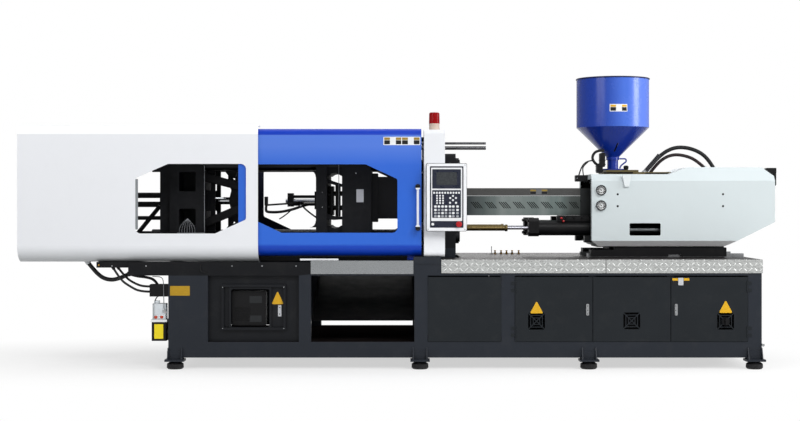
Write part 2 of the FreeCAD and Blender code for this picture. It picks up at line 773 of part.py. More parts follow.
def rear_link():
    """Upper rear link: a plate each side of the axis, a hub round the ear pin, its knee pins
    and the pin that the crosshead drives."""
    z = axis_z + toggle_height
    drive_x, drive_z = drive_pin_place()
    plates = []
    for y0, y1 in ((axis_y + link_in, axis_y + link_out), (axis_y - link_out, axis_y - link_in)):
        arm = side_plate([(rear_pin_x, z, boss_radius), (knee_x, z, boss_radius)],
                         link_waist, y0, y1)
        lug = side_plate([(rear_pin_x, z, boss_radius), (drive_x, drive_z, drive_boss)],
                         link_waist, y0, y1)
        brace = side_plate([(drive_x, drive_z, drive_boss - 10), (knee_x - 62, z - 4, 16)],
                           26, y0, y1)
        plates += [arm, lug, brace]
    hub = rod_y(axis_y - link_in - 1, axis_y + link_in + 1, rear_pin_x, z, boss_radius)
    body = fused(*plates, hub)
    body = cut(body,
               rod_y(axis_y - link_out - 1, axis_y + link_out + 1, rear_pin_x, z,
                     pin_radius + pin_fit),
               rod_y(axis_y - link_out - 1, axis_y + link_out + 1, knee_x, z, pin_radius),
               rod_y(axis_y - link_out - 1, axis_y + link_out + 1, drive_x, drive_z,
                     drive_pin_radius))
    knee = rod_y(axis_y + link_in, axis_y + outer_out, knee_x, z, pin_radius)
    drive = rod_y(axis_y - link_out, axis_y + link_out, drive_x, drive_z, drive_pin_radius)
    return [body, knee, mirrored(knee), drive]


def front_link(far_fit):
    """Upper front link: two plates outside the rear link and the moving platen's ears."""
    z = axis_z + toggle_height
    y0, y1 = axis_y + outer_in, axis_y + outer_out
    plate = side_plate([(knee_x, z, boss_radius), (moving_pin_x, z, boss_radius)],
                       link_waist, y0, y1)
    plate = cut(plate, rod_y(y0 - 1, y1 + 1, knee_x, z, pin_radius + pin_fit),
                rod_y(y0 - 1, y1 + 1, moving_pin_x, z, pin_radius + far_fit))
    return both_sides(plate)


def crosshead():
    """Two plates with an upright slot at each end for the drive pins, on a hub for the rod."""
    drive_z = drive_pin_place()[1] - axis_z
    lowest = toggle_height - drive_radius
    slot = drive_pin_radius + slot_slack
    slot_top = drive_z + slot + 2
    slot_bottom = lowest - slot - 2
    side = slot + 15
    outline = [(crosshead_x - side, axis_z + slot_top + 14, 14),
               (crosshead_x + side, axis_z + slot_top + 14, 14),
               (crosshead_x + side, axis_z + slot_bottom - 22, 8),
               (crosshead_x + 52, axis_z + 46, 20),
               (crosshead_x + 52, axis_z - 46, 20),
               (crosshead_x + side, axis_z - slot_bottom + 22, 8),
               (crosshead_x + side, axis_z - slot_top - 14, 14),
               (crosshead_x - side, axis_z - slot_top - 14, 14),
               (crosshead_x - side, axis_z - slot_bottom + 30, 10),
               (crosshead_x - 10, axis_z - 66, 20),
               (crosshead_x - 26, axis_z, 60),
               (crosshead_x - 10, axis_z + 66, 20),
               (crosshead_x - side, axis_z + slot_bottom - 30, 10)]
    y0, y1 = axis_y + crosshead_inner, axis_y + crosshead_inner + plate_thickness
    plate = prism_y(outline, y0, y1)
    opening = prism_y([(crosshead_x - slot, axis_z + slot_bottom, slot - 0.5),
                       (crosshead_x + slot, axis_z + slot_bottom, slot - 0.5),
                       (crosshead_x + slot, axis_z + slot_top, slot - 0.5),
                       (crosshead_x - slot, axis_z + slot_top, slot - 0.5)], y0 - 1, y1 + 1)
    plate = cut(plate, opening, flipped(opening))
    hub = rod_y(axis_y - crosshead_inner - 1, axis_y + crosshead_inner + 1, crosshead_x + 12,
                axis_z, 38)
    socket = rod_x(crosshead_x - 40, crosshead_x + 30, axis_y, axis_z, rod_radius)
    return cut(fused(plate, mirrored(plate), hub), socket)


def piston_rod():
    piston_x = rear_face_x - gland_length - 16 - piston_length
    rod_end = crosshead_x + 30
    shaft = rod_x(piston_x + piston_length, rod_end, axis_y, axis_z, rod_radius)
    piston = rod_x(piston_x, piston_x + piston_length, axis_y, axis_z,
                   cylinder_radius - cylinder_wall - 0.1)
    return fused(shaft, piston)


def clamp_cylinder():
    left = rear_back_x - 12
    right = rear_face_x + 5
    body = rod_x(left, right, axis_y, axis_z, cylinder_radius)
    flange = rod_x(left - 18, left + 12, axis_y, axis_z, cylinder_radius + 26)
    bore = rod_x(left + 12, rear_face_x - gland_length, axis_y, axis_z,
                 cylinder_radius - cylinder_wall)
    gland = rod_x(rear_face_x - gland_length - 1, right + 1, axis_y, axis_z, rod_radius + 0.1)
    return cut(fused(body, flange), bore, gland)


def clamp_valves():
    """Valve block behind the clamp and the pipes from it to the clamp cylinder."""
    x0, x1 = -1990.0, -1820.0
    stand = box(x0 + 20, x1 - 20, axis_y - way_outer, axis_y + way_outer, platen_bottom,
                platen_bottom + 14)
    post = box(x0 + 50, x1 - 50, axis_y - 60, axis_y + 60, platen_bottom + 14, 880)
    block = box(x0, x1, axis_y - 100, axis_y + 100, 880, 1040)
    valves = []
    for z in (905, 960, 1015):
        valves.append(rod_y(axis_y - 190, axis_y - 100, x0 + 85, z - 8, 20))
        valves.append(box(x0 + 60, x0 + 110, axis_y - 150, axis_y - 100, z - 24, z + 16))
    pipe_left = x1 - 2
    pipe_right = rear_back_x - 30
    pipes = [rod_x(pipe_left, pipe_right, axis_y, axis_z + 33, 17),
             rod_x(pipe_left, pipe_right, axis_y, axis_z - 22, 17)]
    near_y = axis_y - 90
    drain = rod_x(pipe_left, rear_back_x, near_y, axis_z - 104, 12)
    lower = rod_x(x1 - 60, rear_back_x, near_y, axis_z - 192, 9)
    drop = rod_z(axis_z - 192, 890, x1 - 30, near_y, 9)
    branch = rod((-1612, near_y, axis_z - 192), (130, 0, 160), 13, 206)
    return fused(stand, post, block, *valves, *pipes, drain, lower, drop, branch)


def ejector_cylinder():
    """Rear head on two tie rods behind the moving platen's back wall."""
    x0 = moving_back_x - 186
    head = box(x0, x0 + 34, axis_y - 42, axis_y + 42, axis_z - 36, axis_z + 46)
    front = box(moving_back_x - 22, moving_back_x, axis_y - 42, axis_y + 42,
                axis_z - 52, axis_z + 56)
    bars = [rod_x(x0 + 30, moving_back_x - 10, axis_y + s * 26, axis_z + t, 9)
            for s in (-1, 1) for t in (25, -22)]
    hole = rod_x(x0 - 1, moving_back_x + 1, axis_y, axis_z, 12.4)
    return cut(fused(head, front, *bars), hole)


def ejector_plate():
    """Plate with its push rods and the piston rod that drives it."""
    x0 = moving_back_x + moving_wall + 4
    x1 = x0 + 24
    plate = prism_x([(axis_y - 110, axis_z - 88, 10), (axis_y + 110, axis_z - 88, 10),
                     (axis_y + 110, axis_z + 88, 10), (axis_y - 110, axis_z + 88, 10)], x0, x1)
    pushers = [rod_x(x1 - 1, moving_face_x - 20, axis_y + a * 50, axis_z + b * 50, 8)
               for a in (-1, 1) for b in (-1, 1)]
    drive = rod_x(moving_back_x - 200, x0 + 1, axis_y, axis_z, 12)
    return fused(plate, *pushers, drive)


# ---------------------------------------------------------------- mould
mould_half_y = 125.0
mould_low = 852.0
mould_high = 1104.0
clamp_plate = 38.0
parting_x = mould_face_x - 150.0


def mould_fixed_half():
    plate = box(mould_face_x - clamp_plate, mould_face_x, axis_y - mould_half_y - 22,
                axis_y + mould_half_y + 22, mould_low - 20, mould_high + 20)
    body = box(parting_x + 0.3, mould_face_x - clamp_plate, axis_y - mould_half_y,
               axis_y + mould_half_y, mould_low, mould_high)
    ring = rod_x(mould_face_x - 1, mould_face_x + 12, axis_y, axis_z, 49.9)
    cavity = prism_x([(axis_y - 60, axis_z - 45, 14), (axis_y + 60, axis_z - 45, 14),
                      (axis_y + 60, axis_z + 45, 14), (axis_y - 60, axis_z + 45, 14)],
                     parting_x, parting_x + 36)
    sprue = Part.makeCone(4, 2, 130, V(parting_x + 34, axis_y, axis_z), V(1, 0, 0))
    seat = rod_x(parting_x + 155, mould_face_x + 13, axis_y, axis_z, 11)
    guides = guide_pins(12.2, parting_x - 1, parting_x + 52)
    return cut(fused(plate, body, ring), cavity, sprue, seat, *guides)


def guide_pins(radius, x0, x1):
    return [rod_x(x0, x1, axis_y + a * 96, (mould_low + mould_high) / 2 + b * 96, radius)
            for a in (-1, 1) for b in (-1, 1)]


def mould_moving_half():
    plate = box(moving_face_x, moving_face_x + clamp_plate, axis_y - mould_half_y - 22,
                axis_y + mould_half_y + 22, mould_low - 20, mould_high + 20)
    body = box(moving_face_x + clamp_plate, parting_x, axis_y - mould_half_y,
               axis_y + mould_half_y, mould_low, mould_high)
    core = prism_x([(axis_y - 56, axis_z - 41, 12), (axis_y + 56, axis_z - 41, 12),
                    (axis_y + 56, axis_z + 41, 12), (axis_y - 56, axis_z + 41, 12)],
                   parting_x - 2, parting_x + 32)
    pins = guide_pins(12, parting_x - 2, parting_x + 48)
    ejector_ways = [rod_x(moving_face_x - 1, moving_face_x + 60, axis_y + a * 50,
                          axis_z + b * 50, 10) for a in (-1, 1) for b in (-1, 1)]
    return cut(fused(plate, body, core, *pins), *ejector_ways)


# ---------------------------------------------------------------- covers and doors
def c_section(face, bottom, top, bottom_bend, top_bend, back, inset):
    """C-shaped section in Y and Z, open to the back, with rounded edges at the front."""
    f = face + inset
    return [(back, top - inset), (f, top - inset, top_bend - inset),
            (f, bottom + inset, bottom_bend - inset), (back, bottom + inset)]


def c_shell(x0, x1, face, bottom, top, bottom_bend, top_bend, depth):
    outer = prism_x(c_section(face, bottom, top, bottom_bend, top_bend, face + depth, 0), x0, x1)
    inner = prism_x(c_section(face, bottom, top, bottom_bend, top_bend, face + depth + 1, sheet),
                    x0 - 1, x1 + 1)
    return outer.cut(inner)


def window(left, right, bottom, top, cuts, y):
    """Opening with two corners cut off; cuts gives each one's width and height."""
    (tl, tr, br, bl) = cuts
    points = []
    for x, z, piece, first in ((left, top, tl, "up"), (right, top, tr, "over"),
                               (right, bottom, br, "down"), (left, bottom, bl, "back")):
        if piece is None:
            points.append((x, z, window_corner))
            continue
        w, h = piece
        inward = 1 if x == left else -1
        downward = 1 if z == bottom else -1
        over = (x + inward * w, z, 12)
        beside = (x, z + downward * h, 16)
        points += [beside, over] if first in ("up", "down") else [over, beside]
    return prism_y(points, y - 20, y + 40)


def clamp_cover(right, opening):
    depth = half_width
    shell = c_shell(cover_left + sheet, right, front_y, cover_bottom, cover_top,
                    cover_bottom_bend, cover_top_bend, cover_return)
    section = c_section(front_y, cover_bottom, cover_top, cover_bottom_bend, cover_top_bend,
                        front_y + depth - 0.5, 0)
    end = prism_x(section, cover_left, cover_left + sheet)
    lip = cut(prism_x(section, cover_left + sheet, cover_left + 60),
              prism_x(c_section(front_y, cover_bottom, cover_top, cover_bottom_bend,
                                cover_top_bend, front_y + depth, sheet),
                      cover_left + sheet - 1, cover_left + 61))
    return cut(fused(shell, end, lip), opening)


def clamp_cover_front():
    opening = window(-1542, -911, 772, 1169, ((186, 81), None, (177, 80), None), front_y)
    cover = clamp_cover(cover_right, opening)
    return fused(cover, stub(beam_hose_route, 15, 24, "near"))


def clamp_cover_back():
    opening = window(-1790, -1040, 745, 1200, ((186, 81), None, (120, 60), None), front_y)
    return mirrored(clamp_cover(back_cover_right, opening))


def door_face():
    return front_y + sheet + door_gap


def door_shell(left):
    return c_shell(left, door_right, door_face(), door_bottom, door_top, door_bottom_bend,
                   door_top_bend, door_return)


rail_y = front_y + 108.0
rail_thickness = 10.0
rail_base = beam_top + sheet     # the lower rail runs over the cover's bottom edge
lower_rail_top = 636.0
upper_rail_bottom = 1300.0
upper_rail_top = 1326.0
rail_play = 0.4


def door_shoes(left):
    """Shoes that carry the door on its lower rail and steady it on the upper one."""
    shoes = []
    for x in (left + 40, door_right - 80):
        block = box(x, x + 44, rail_y - 10, rail_y + rail_thickness + 10,
                    rail_base + 8, door_bottom + 1)
        slot = box(x - 1, x + 45, rail_y - rail_play, rail_y + rail_thickness + rail_play,
                   rail_base, lower_rail_top + rail_play)
        shoes.append(cut(block, slot))
        arm = box(x, x + 44, door_face() + sheet - 1, rail_y + rail_thickness + 12,
                  upper_rail_bottom + 6, upper_rail_top + 14)
        groove = box(x - 1, x + 45, rail_y - rail_play,
                     rail_y + rail_thickness + rail_play, upper_rail_bottom,
                     upper_rail_top + rail_play)
        shoes.append(cut(arm, groove))
    return shoes


def front_door():
    opening = window(-888, -48, 776, 1167, (None, (182, 84), None, (178, 84)), front_y)
    shell = cut(door_shell(door_left), opening)
    return fused(shell, *door_shoes(door_left))


def back_door():
    opening = window(-917, -41, 776, 1167, (None, (182, 84), None, (178, 84)), front_y)
    shell = cut(door_shell(back_door_left), opening)
    return mirrored(fused(shell, *door_shoes(back_door_left)))


handle_x = 68.0
handle_low = 789.0
handle_high = 1054.0
handle_radius = 7.0


def door_handle(face):
    """Chromed bar between two end bosses, in front of the door face."""
    y = face - handle_out
    bar = rod_z(handle_low + 10, handle_high - 10, handle_x, y, handle_radius)
    bosses = []
    for z in (handle_low, handle_high - 32):
        outline = [(handle_x - 13, z, 10), (handle_x + 13, z, 10),
                   (handle_x + 13, z + 32, 10), (handle_x - 13, z + 32, 10)]
        bosses.append(prism_y(outline, y - handle_half, face))
    return [bar] + [cut(b, bar) for b in bosses]


def front_handle():
    return door_handle(door_face())


def back_handle():
    return [mirrored(s) for s in door_handle(door_face())]


def door_rail(left):
    """Lower and upper rail of a door, with the hanger and the post that hold the upper one."""
    start = left - door_travel - 10
    y0, y1 = rail_y, rail_y + rail_thickness
    lower = box(start, column_left + 6, y0, y1, rail_base, lower_rail_top)
    blocks = [box(x, x + 30, y0, y1, beam_top, rail_base + 1) for x in (-760, -380, 20)]
    upper = box(start, column_left + 30, y0, y1, upper_rail_bottom, upper_rail_top)
    hanger = box(start - 40, start, y0, y1 + 20, upper_rail_bottom, cover_top - sheet)
    post = box(column_left + 30, column_left + 62, y0 - 14, y1 + 20, column_bottom + sheet,
               upper_rail_top)
    return fused(lower, *blocks), fused(upper, hanger, post)


def door_rails():
    back = [mirrored(s) for s in door_rail(back_door_left)]
    return [*door_rail(door_left), *back]


def column_covers():
    outer = prism_x(c_section(front_y, column_bottom, column_top, 30, 25,
                              front_y + column_depth, 0), column_left, column_right)
    inner = prism_x(c_section(front_y, column_bottom, column_top, 30, 25,
                              front_y + column_depth + 1, sheet),
                    column_left + sheet, column_right - sheet)
    rail_way = box(column_left - 1, column_left + sheet + 1, rail_y - 16,
                   rail_y + rail_thickness + 16, upper_rail_bottom - 20,
                   upper_rail_top + 20)
    cover = cut(outer, inner, rail_way)
    return both_sides(cover)


# ---------------------------------------------------------------- control panel and lamp
def control_panel():
    y0 = front_y - panel_depth
    case = prism_y([(panel_left, panel_bottom, 8), (panel_right, panel_bottom, 8),
                    (panel_right, panel_top, 8), (panel_left, panel_top, 8)], y0, front_y)
    recess = prism_y([(panel_left + 18, panel_bottom + 18, 4),
                      (panel_right - 18, panel_bottom + 18, 4),
                      (panel_right - 18, panel_top - 15, 4),
                      (panel_left + 18, panel_top - 15, 4)], y0 - 1, y0 + 3)
    holes = [rod_y(y0 - 1, y0 + 30, stop_x, button_z, 9.1),
             rod_y(y0 - 1, y0 + 30, start_x, button_z, start_radius - 1.9)]
    return cut(case, recess, *holes)


def keypad_overlay():
    """Screen bezel and membrane keypad, one sheet."""
    y0 = front_y - panel_depth + 3 - overlay_thickness
    x0, x1 = panel_left + 25, panel_right - 25
    frame = prism_y([(x0, 844, 4), (x1, 844, 4), (x1, 1146, 4), (x0, 1146, 4)],
                    y0, y0 + overlay_thickness)
    screen = prism_y([(x0 + 30, 1048, 3), (x1 - 30, 1048, 3), (x1 - 30, 1120, 3),
                      (x0 + 30, 1120, 3)], y0 - 1, y0 + 1)
    return cut(frame, screen)


def emergency_stop():
    y = front_y - panel_depth
    head = turned([(0, 0), (0, stop_radius), (9, stop_radius, 4), (9, 0)],
                  (stop_x, y - stop_length + 9, button_z), (0, -1, 0))
    stem = rod_y(y - 14, y + 24, stop_x, button_z, 9)
    return fused(head, stem)


def start_button():
    y = front_y - panel_depth
    cap = turned([(0, 0), (0, start_radius), (5, start_radius, 1.5), (5, 0)],
                 (start_x, y - 3.5 + 3, button_z), (0, -1, 0))
    stem = rod_y(y - 0.5, y + 20, start_x, button_z, start_radius - 2)
    return fused(cap, stem)


def alarm_lamp():
    y = front_y + 70
    base = turned([(0, 0), (0, lamp_radius), (lamp_base_height * 0.6, lamp_radius * 0.94),
                   (lamp_base_height, lamp_radius), (lamp_base_height, 0)],
                  (lamp_x, y, column_top), (0, 0, 1))
    z = column_top + lamp_base_height
    lens = turned([(0, 0), (0, lamp_radius), (lamp_lens_height, lamp_radius * 0.95, 7),
                   (lamp_lens_height, 0)],
                  (lamp_x, y, z), (0, 0, 1))
    return [base, lens]


# ---------------------------------------------------------------- base doors and switch
hinge_radius = 3.5
hinge_pin_radius = 2.0
hinge_half = 30.0         # half the height of a hinge
knuckle_half = 10.0       # half the height of the knuckle on the door
hinge_heights = (212.0, 468.0)
latch_z = 338.0
latch_half = 33.0
latch_spindle = 9.0
door_clear = 2.0


def cabinet_door(left, right, hinge_left, vent):
    """Hinged sheet door with folded edges, in front of its opening."""
    y0 = front_y + 2
    x0, x1 = left + door_clear, right - door_clear
    z0, z1 = rail_top + 2, beam_bottom - 8
    skin = box(x0, x1, y0, y0 + sheet, z0, z1)
    hinge_x = hinge_x_of(left, right, hinge_left)
    fold_far = box(x1 - sheet, x1, y0, y0 + 14, z0 + 8, z1 - 8) if hinge_left else box(
        x0, x0 + sheet, y0, y0 + 14, z0 + 8, z1 - 8)
    body = fused(skin, fold_far)
    latch_x = x1 - 28 if hinge_left else x0 + 28
    hole = rod_y(y0 - 1, y0 + 20, latch_x, latch_z, latch_spindle + 0.2)
    ways, knuckles, pin_holes = [], [], []
    for z in hinge_heights:
        for z2 in (z - hinge_half, z + knuckle_half):
            ways.append(box(hinge_x - 4.5, hinge_x + 4.5, y0 - 8, y0 + sheet + 1, z2 - 0.3,
                            z2 + hinge_half - knuckle_half + 0.3))
        knuckles.append(rod_z(z - knuckle_half + 0.3, z + knuckle_half - 0.3, hinge_x, y0,
                              hinge_radius))
        pin_holes.append(rod_z(z - knuckle_half, z + knuckle_half, hinge_x, y0,
                               hinge_pin_radius + 0.1))
    body = cut(fused(cut(body, hole, *ways), *knuckles), *pin_holes)
    return vented(body, vent, y0)


def hinge_x_of(left, right, hinge_left):
    return left + door_clear + 3 if hinge_left else right - door_clear - 3


def fixed_hinges(left, right, hinge_left):
    """Pins of a cabinet door with the leaves that hold them on the frame."""
    x = hinge_x_of(left, right, hinge_left)
    y = front_y + 2
    face = front_y + frame_inset
    x0, x1 = (x - 26, x) if hinge_left else (x, x + 26)
    hinges = []
    for z in hinge_heights:
        parts = [rod_z(z - hinge_half, z + hinge_half, x, y, hinge_pin_radius)]
        for z2 in (z - hinge_half, z + knuckle_half):
            top = z2 + hinge_half - knuckle_half
            parts.append(rod_z(z2, top, x, y, hinge_radius))
            parts.append(box(x0, x1, face - 2, face, z2, top))
        hinges.append(fused(*parts))
    return hinges


left_vent = (697.0, 793.0, 224.0, 320.0)
middle_vent = (1240.0, 1336.0, 226.0, 322.0)
right_vent = (1775.0, 1871.0, 224.0, 320.0)


left_opening = (leg_spans[3][0] + leg_spans[3][1], door_posts[0], True)
right_opening = (door_posts[1], leg_spans[4][0], False)


def left_cabinet_door():
    return cabinet_door(*left_opening, left_vent)


switch_x = 1823.0
switch_z = 272.0
switch_radius = 22.0


def right_cabinet_door():
    boss = rod_y(front_y + 2, front_y + 2 + sheet, switch_x, switch_z, switch_radius + 2)
    return fused(cabinet_door(*right_opening, right_vent), boss)


def latch(x):
    """Turning latch: a spindle through the door, a grip in front and a cam behind."""
    y0 = front_y + 2
    spindle = rod_y(y0, y0 + 16, x, latch_z, latch_spindle)
    grip = prism_y([(x - 8, latch_z - latch_half, 6), (x + 8, latch_z - latch_half, 6),
                    (x + 8, latch_z + latch_half, 6), (x - 8, latch_z + latch_half, 6)],
                   y0 - 5, y0)
    cam = box(x - 8, x + 8, y0 + 13.5, y0 + 17, latch_z - 9, latch_z + 20)
    return fused(spindle, grip, cam)


def left_latch():
    return latch(door_posts[0] - door_clear - 28)


def right_latch():
    return latch(door_posts[1] + door_clear + 28)


def hydraulic_pump():
    """Electric motor with its pump, on feet in front of the oil tank."""
    y = axis_y - 250
    z = 330.0
    x0, x1 = 670.0, 900.0
    profile = [(0, 0), (0, 95), (8, 100)]
    profile += [(x1 - x0 - 8, 100), (x1 - x0, 95), (x1 - x0, 0)]
    motor = turned(profile, (x0, y, z), (1, 0, 0))
    fins = [box(x0 + 20, x1 - 20, y - 112, y + 112, z + t - 3, z + t + 3) for t in
            (-60, -40, -20, 0, 20, 40, 60)]
    bell = turned([(0, 0), (0, 80), (50, 60), (50, 0)], (x1, y, z), (1, 0, 0))
    pump = turned([(0, 0), (0, 48), (70, 48), (78, 30), (78, 0)], (x1 + 50, y, z), (1, 0, 0))
    foot = box(x0 + 30, x1 - 30, y - 90, y + 90, 206, z - 80)
    bed = box(650, 1040, y - 110, y + 110, 190, 206)
    legs = [box(x, x + 40, y - 110, y + 110, rail_top, 190) for x in (655, 995)]
    return fused(motor, *fins, bell, pump, foot, bed, *legs)


def electrical_plate():
    """Back plate with contactors, drives and trunking behind the right-hand door."""
    y = front_y + 200
    plate = box(1560, 1930, y, y + 3, rail_top + 20, beam_bottom - 4)
    items = []
    for row, (z, height, depth) in enumerate(((200, 70, 70), (310, 60, 60), (410, 80, 90))):
        count = 5 - row
        width = 340 / count
        for i in range(count):
            x = 1575 + i * width
            items.append(box(x, x + width - 14, y - depth, y, z, z + height))
    trunks = [box(1570, 1920, y - 30, y, z, z + 24) for z in (280, 380)]
    legs = [box(x, x + 30, y - 60, y + 3, rail_top, rail_top + 20) for x in (1580, 1880)]
    return fused(plate, *items, *trunks, *legs)


def main_switch():
    """Rotary main switch on the right-hand door."""
    y = front_y + 2
    knob = rod_y(y - 10, y - 0.3, switch_x, switch_z, switch_radius)
    grip = box(switch_x - 6, switch_x + 6, y - 26, y - 10, switch_z - 21, switch_z + 21)
    return fused(knob, grip)


# ---------------------------------------------------------------- injection unit
def carriage_guides():
    """Two slide bars on the deck and the two rods that the carriage pulls itself along."""
    bars = both_sides(box(way_bar_left, 2018, axis_y + way_bar_inner, axis_y + way_bar_outer,
                          deck_top, way_bar_top))
    rods = []
    for side in (-1, 1):
        y = axis_y + side * shift_y
        sleeve = rod_x(fixed_back_x - 28, 608, y, shift_z, shift_sleeve_radius)
        shaft = rod_x(608, 1010, y, shift_z, shift_rod_radius)
        piston = rod_x(1010, 1036, y, shift_z, shift_body_radius - 10.1)
        rods.append(fused(sleeve, shaft, piston))
    return bars + rods


def shift_cylinders():
    cylinders = []
    for side in (-1, 1):
        y = axis_y + side * shift_y
        head = prism_x([(y - 45, shift_z - 30), (y - 25, shift_z - 50), (y + 25, shift_z - 50),
                        (y + 45, shift_z - 30), (y + 45, shift_z + 40), (y + 25, shift_z + 60),
                        (y - 25, shift_z + 60), (y - 45, shift_z + 40)],
                       shift_body_left, shift_body_left + 60)
        bolts = [rod_x(shift_body_left - 8, shift_body_left + 1, y + a * 30, shift_z + 5 + b * 38,
                       8) for a in (-1, 1) for b in (-1, 1)]
        body = rod_x(shift_body_left + 60, feed_left, y, shift_z, shift_body_radius)
        block = box(905, shift_body_right + 30, y - 30, y + 30, shift_z + 40, shift_z + 68)
        bore = rod_x(shift_body_left + 40, shift_body_right, y, shift_z,
                     shift_body_radius - 10)
        gland = rod_x(shift_body_left - 1, shift_body_left + 41, y, shift_z,
                      shift_rod_radius + 0.1)
        cylinders.append(cut(fused(head, *bolts, body, block), bore, gland))
    return cylinders


def carriage_base():
    """Saddle on the slide bars, the feed block on it and the rear rod support."""
    slab = box(carriage_left, carriage_right, axis_y - carriage_half, axis_y + carriage_half,
               way_bar_top + 0.3, carriage_top)
    keep = box(shoe_left, carriage_right, axis_y + way_bar_outer + 0.4, axis_y + carriage_half,
               deck_top + 5, way_bar_top + 1)
    shoe = box(shoe_left, carriage_left + 1, axis_y + way_bar_inner - 10, axis_y + carriage_half,
               way_bar_top + 0.3, shoe_top)
    inner, outer = axis_y + guide_rod_y - 30, axis_y + guide_rod_y + 30
    bearer = box(shoe_left - 38, feed_left + 1, inner, outer, shell_face_bottom + 8,
                 shell_face_bottom + 29)
    lobe = box(shoe_left - 38, shell_left + 5, inner, outer, shell_face_bottom - 11,
               shell_face_bottom + 9)
    sides = [keep, shoe, bearer, lobe]
    keeps = sides + [mirrored(part) for part in sides]
    relief = box(1560, 1640, axis_y - carriage_half - 1, axis_y + carriage_half + 1,
                 deck_top, deck_top + 17)
    feed = box(feed_left, feed_right, axis_y - feed_half, axis_y + feed_half, carriage_top,
               shell_front_top - 12)
    wings = box(feed_left, feed_left + 60, axis_y - guide_rod_y - 40, axis_y + guide_rod_y + 40,
                carriage_top + 40, axis_z + 70)
    foot = box(carriage_left - 20, feed_right, axis_y - feed_half, axis_y + feed_half,
               way_bar_top + 0.3, carriage_top)
    rear = box(carriage_right - 58, carriage_right - 16, axis_y - carriage_half,
               axis_y + carriage_half, carriage_top - 1, guide_rod_z + 42)
    throat = rod_z(axis_z, shell_front_top, hopper_x, axis_y, 25)
    barrel_seat = rod_x(feed_left - 1, barrel_right, axis_y, axis_z, barrel_radius)
    shaft_way = rod_x(feed_left, feed_right + 1, axis_y, axis_z, 30)
    rods = [rod_x(feed_left - 1, carriage_right + 1, axis_y + s * guide_rod_y, guide_rod_z,
                  guide_rod_radius) for s in (-1, 1)]
    rams = [rod_x(feed_left - 1, feed_left + 61, axis_y + s * 175, axis_z, 20) for s in (-1, 1)]
    solid = fused(slab, *keeps, feed, wings, foot, rear)
    return cut(solid, relief, throat, barrel_seat, shaft_way, *rods, *rams)


def barrel():
    """Nozzle, barrel and heater bands, turned as one, with the bore of the screw."""
    length = barrel_right - nozzle_tip_x
    profile = [(0, 0), (0, 9), (14, 14), (60, 16), (60, 24), (92, 24), (92, 36), (110, 40),
               (150, barrel_radius)]
    x = 180.0
    while x < length - 160:
        profile += [(x, barrel_radius), (x, barrel_radius + 7),
                    (x + 90, barrel_radius + 7), (x + 90, barrel_radius)]
        x += 110
    profile += [(length, barrel_radius), (length, 0)]
    solid = turned(profile, (nozzle_tip_x, axis_y, axis_z), (1, 0, 0))
    bore = rod_x(nozzle_tip_x + 120, barrel_right + 1, axis_y, axis_z, barrel_bore)
    channel = rod_x(nozzle_tip_x - 1, nozzle_tip_x + 121, axis_y, axis_z, 4)
    throat = rod_z(axis_z, axis_z + barrel_radius + 1, hopper_x, axis_y, 25)
    return cut(solid, bore, channel, throat)


def barrel_guard():
    """Folded sheet over the heater bands with groups of slanted vent slots."""
    outer = box(guard_left, guard_right, axis_y - guard_half, axis_y + guard_half,
                guard_bottom, guard_top)
    inner = box(guard_left + 2, guard_right + 1, axis_y - guard_half + 2,
                axis_y + guard_half - 2, guard_bottom - 1, guard_top - 2)
    nose = rod_x(guard_left - 1, guard_left + 3, axis_y, axis_z, barrel_radius + 12)
    slots = []
    for group in range(8):
        for i in range(4):
            x = guard_left + 34 + group * 84.6 + i * 15.3
            z = axis_z - 10
            slots.append(prism_y([(x + 17, z), (x + 22, z), (x + 5, z + 38), (x, z + 38)],
                                 axis_y - guard_half - 1, axis_y + guard_half + 1))
    feet = [box(x, x + 30, axis_y - guard_half + 2, axis_y + guard_half - 2, guard_bottom,
                guard_bottom + 3) for x in (guard_left + 60, 700, guard_right - 60)]
    guard = cut(outer, inner, nose, *slots)
    tab = box(guard_right - 4, feed_left, axis_y - guard_half, axis_y - guard_half + 2,
              guard_bottom + 20, guard_top - 20)
    return fused(guard, *feet, tab, mirrored(tab))


def screw():
    """Plasticising screw with its tip, three-zone root and drive end."""
    length = feed_right + 60 - nozzle_tip_x - 140
    profile = [(0, 0), (26, screw_radius - 6), (26, 10), (34, 10), (34, screw_radius),
               (52, screw_radius), (52, 15), (330, 15), (560, 12), (980, 12),
               (980, screw_radius), (1020, screw_radius), (1020, 16),
               (length + screw_tail, 16), (length + screw_tail, 0)]
    return turned(profile, (nozzle_tip_x + 128, axis_y, axis_z), (1, 0, 0))


ram_piston_x = 1246.0
injection_plate_x = 1640.0
injection_plate_thickness = 60.0


def injection_cylinders():
    """Two rams that push the injection plate, and its two guide rods."""
    parts = []
    for side in (-1, 1):
        y = axis_y + side * 175
        tube = rod_x(feed_left + 60, 1520, y, axis_z, 44)
        hollow = rod_x(feed_left + 90, 1500, y, axis_z, 35)
        gland = rod_x(1499, 1521, y, axis_z, 18.1)
        spigot = rod_x(feed_left, feed_left + 61, y, axis_z, 20)
        parts.append(cut(fused(tube, spigot), hollow, gland))
        parts.append(rod_x(feed_left, carriage_right, axis_y + side * guide_rod_y, guide_rod_z,
                           guide_rod_radius))
    risers = []
    for route, radius in ((upper_arc_route, 13), (low_arc_route, 11)):
        risers.append(rod_z(axis_z + 35, route[0][2] - 10, route[0][0] - 4, arc_hose_y, radius))
        risers.append(stub(route, radius, 14, "near"))
    return [parts[0], parts[1], fused(parts[2], *risers), parts[3]]


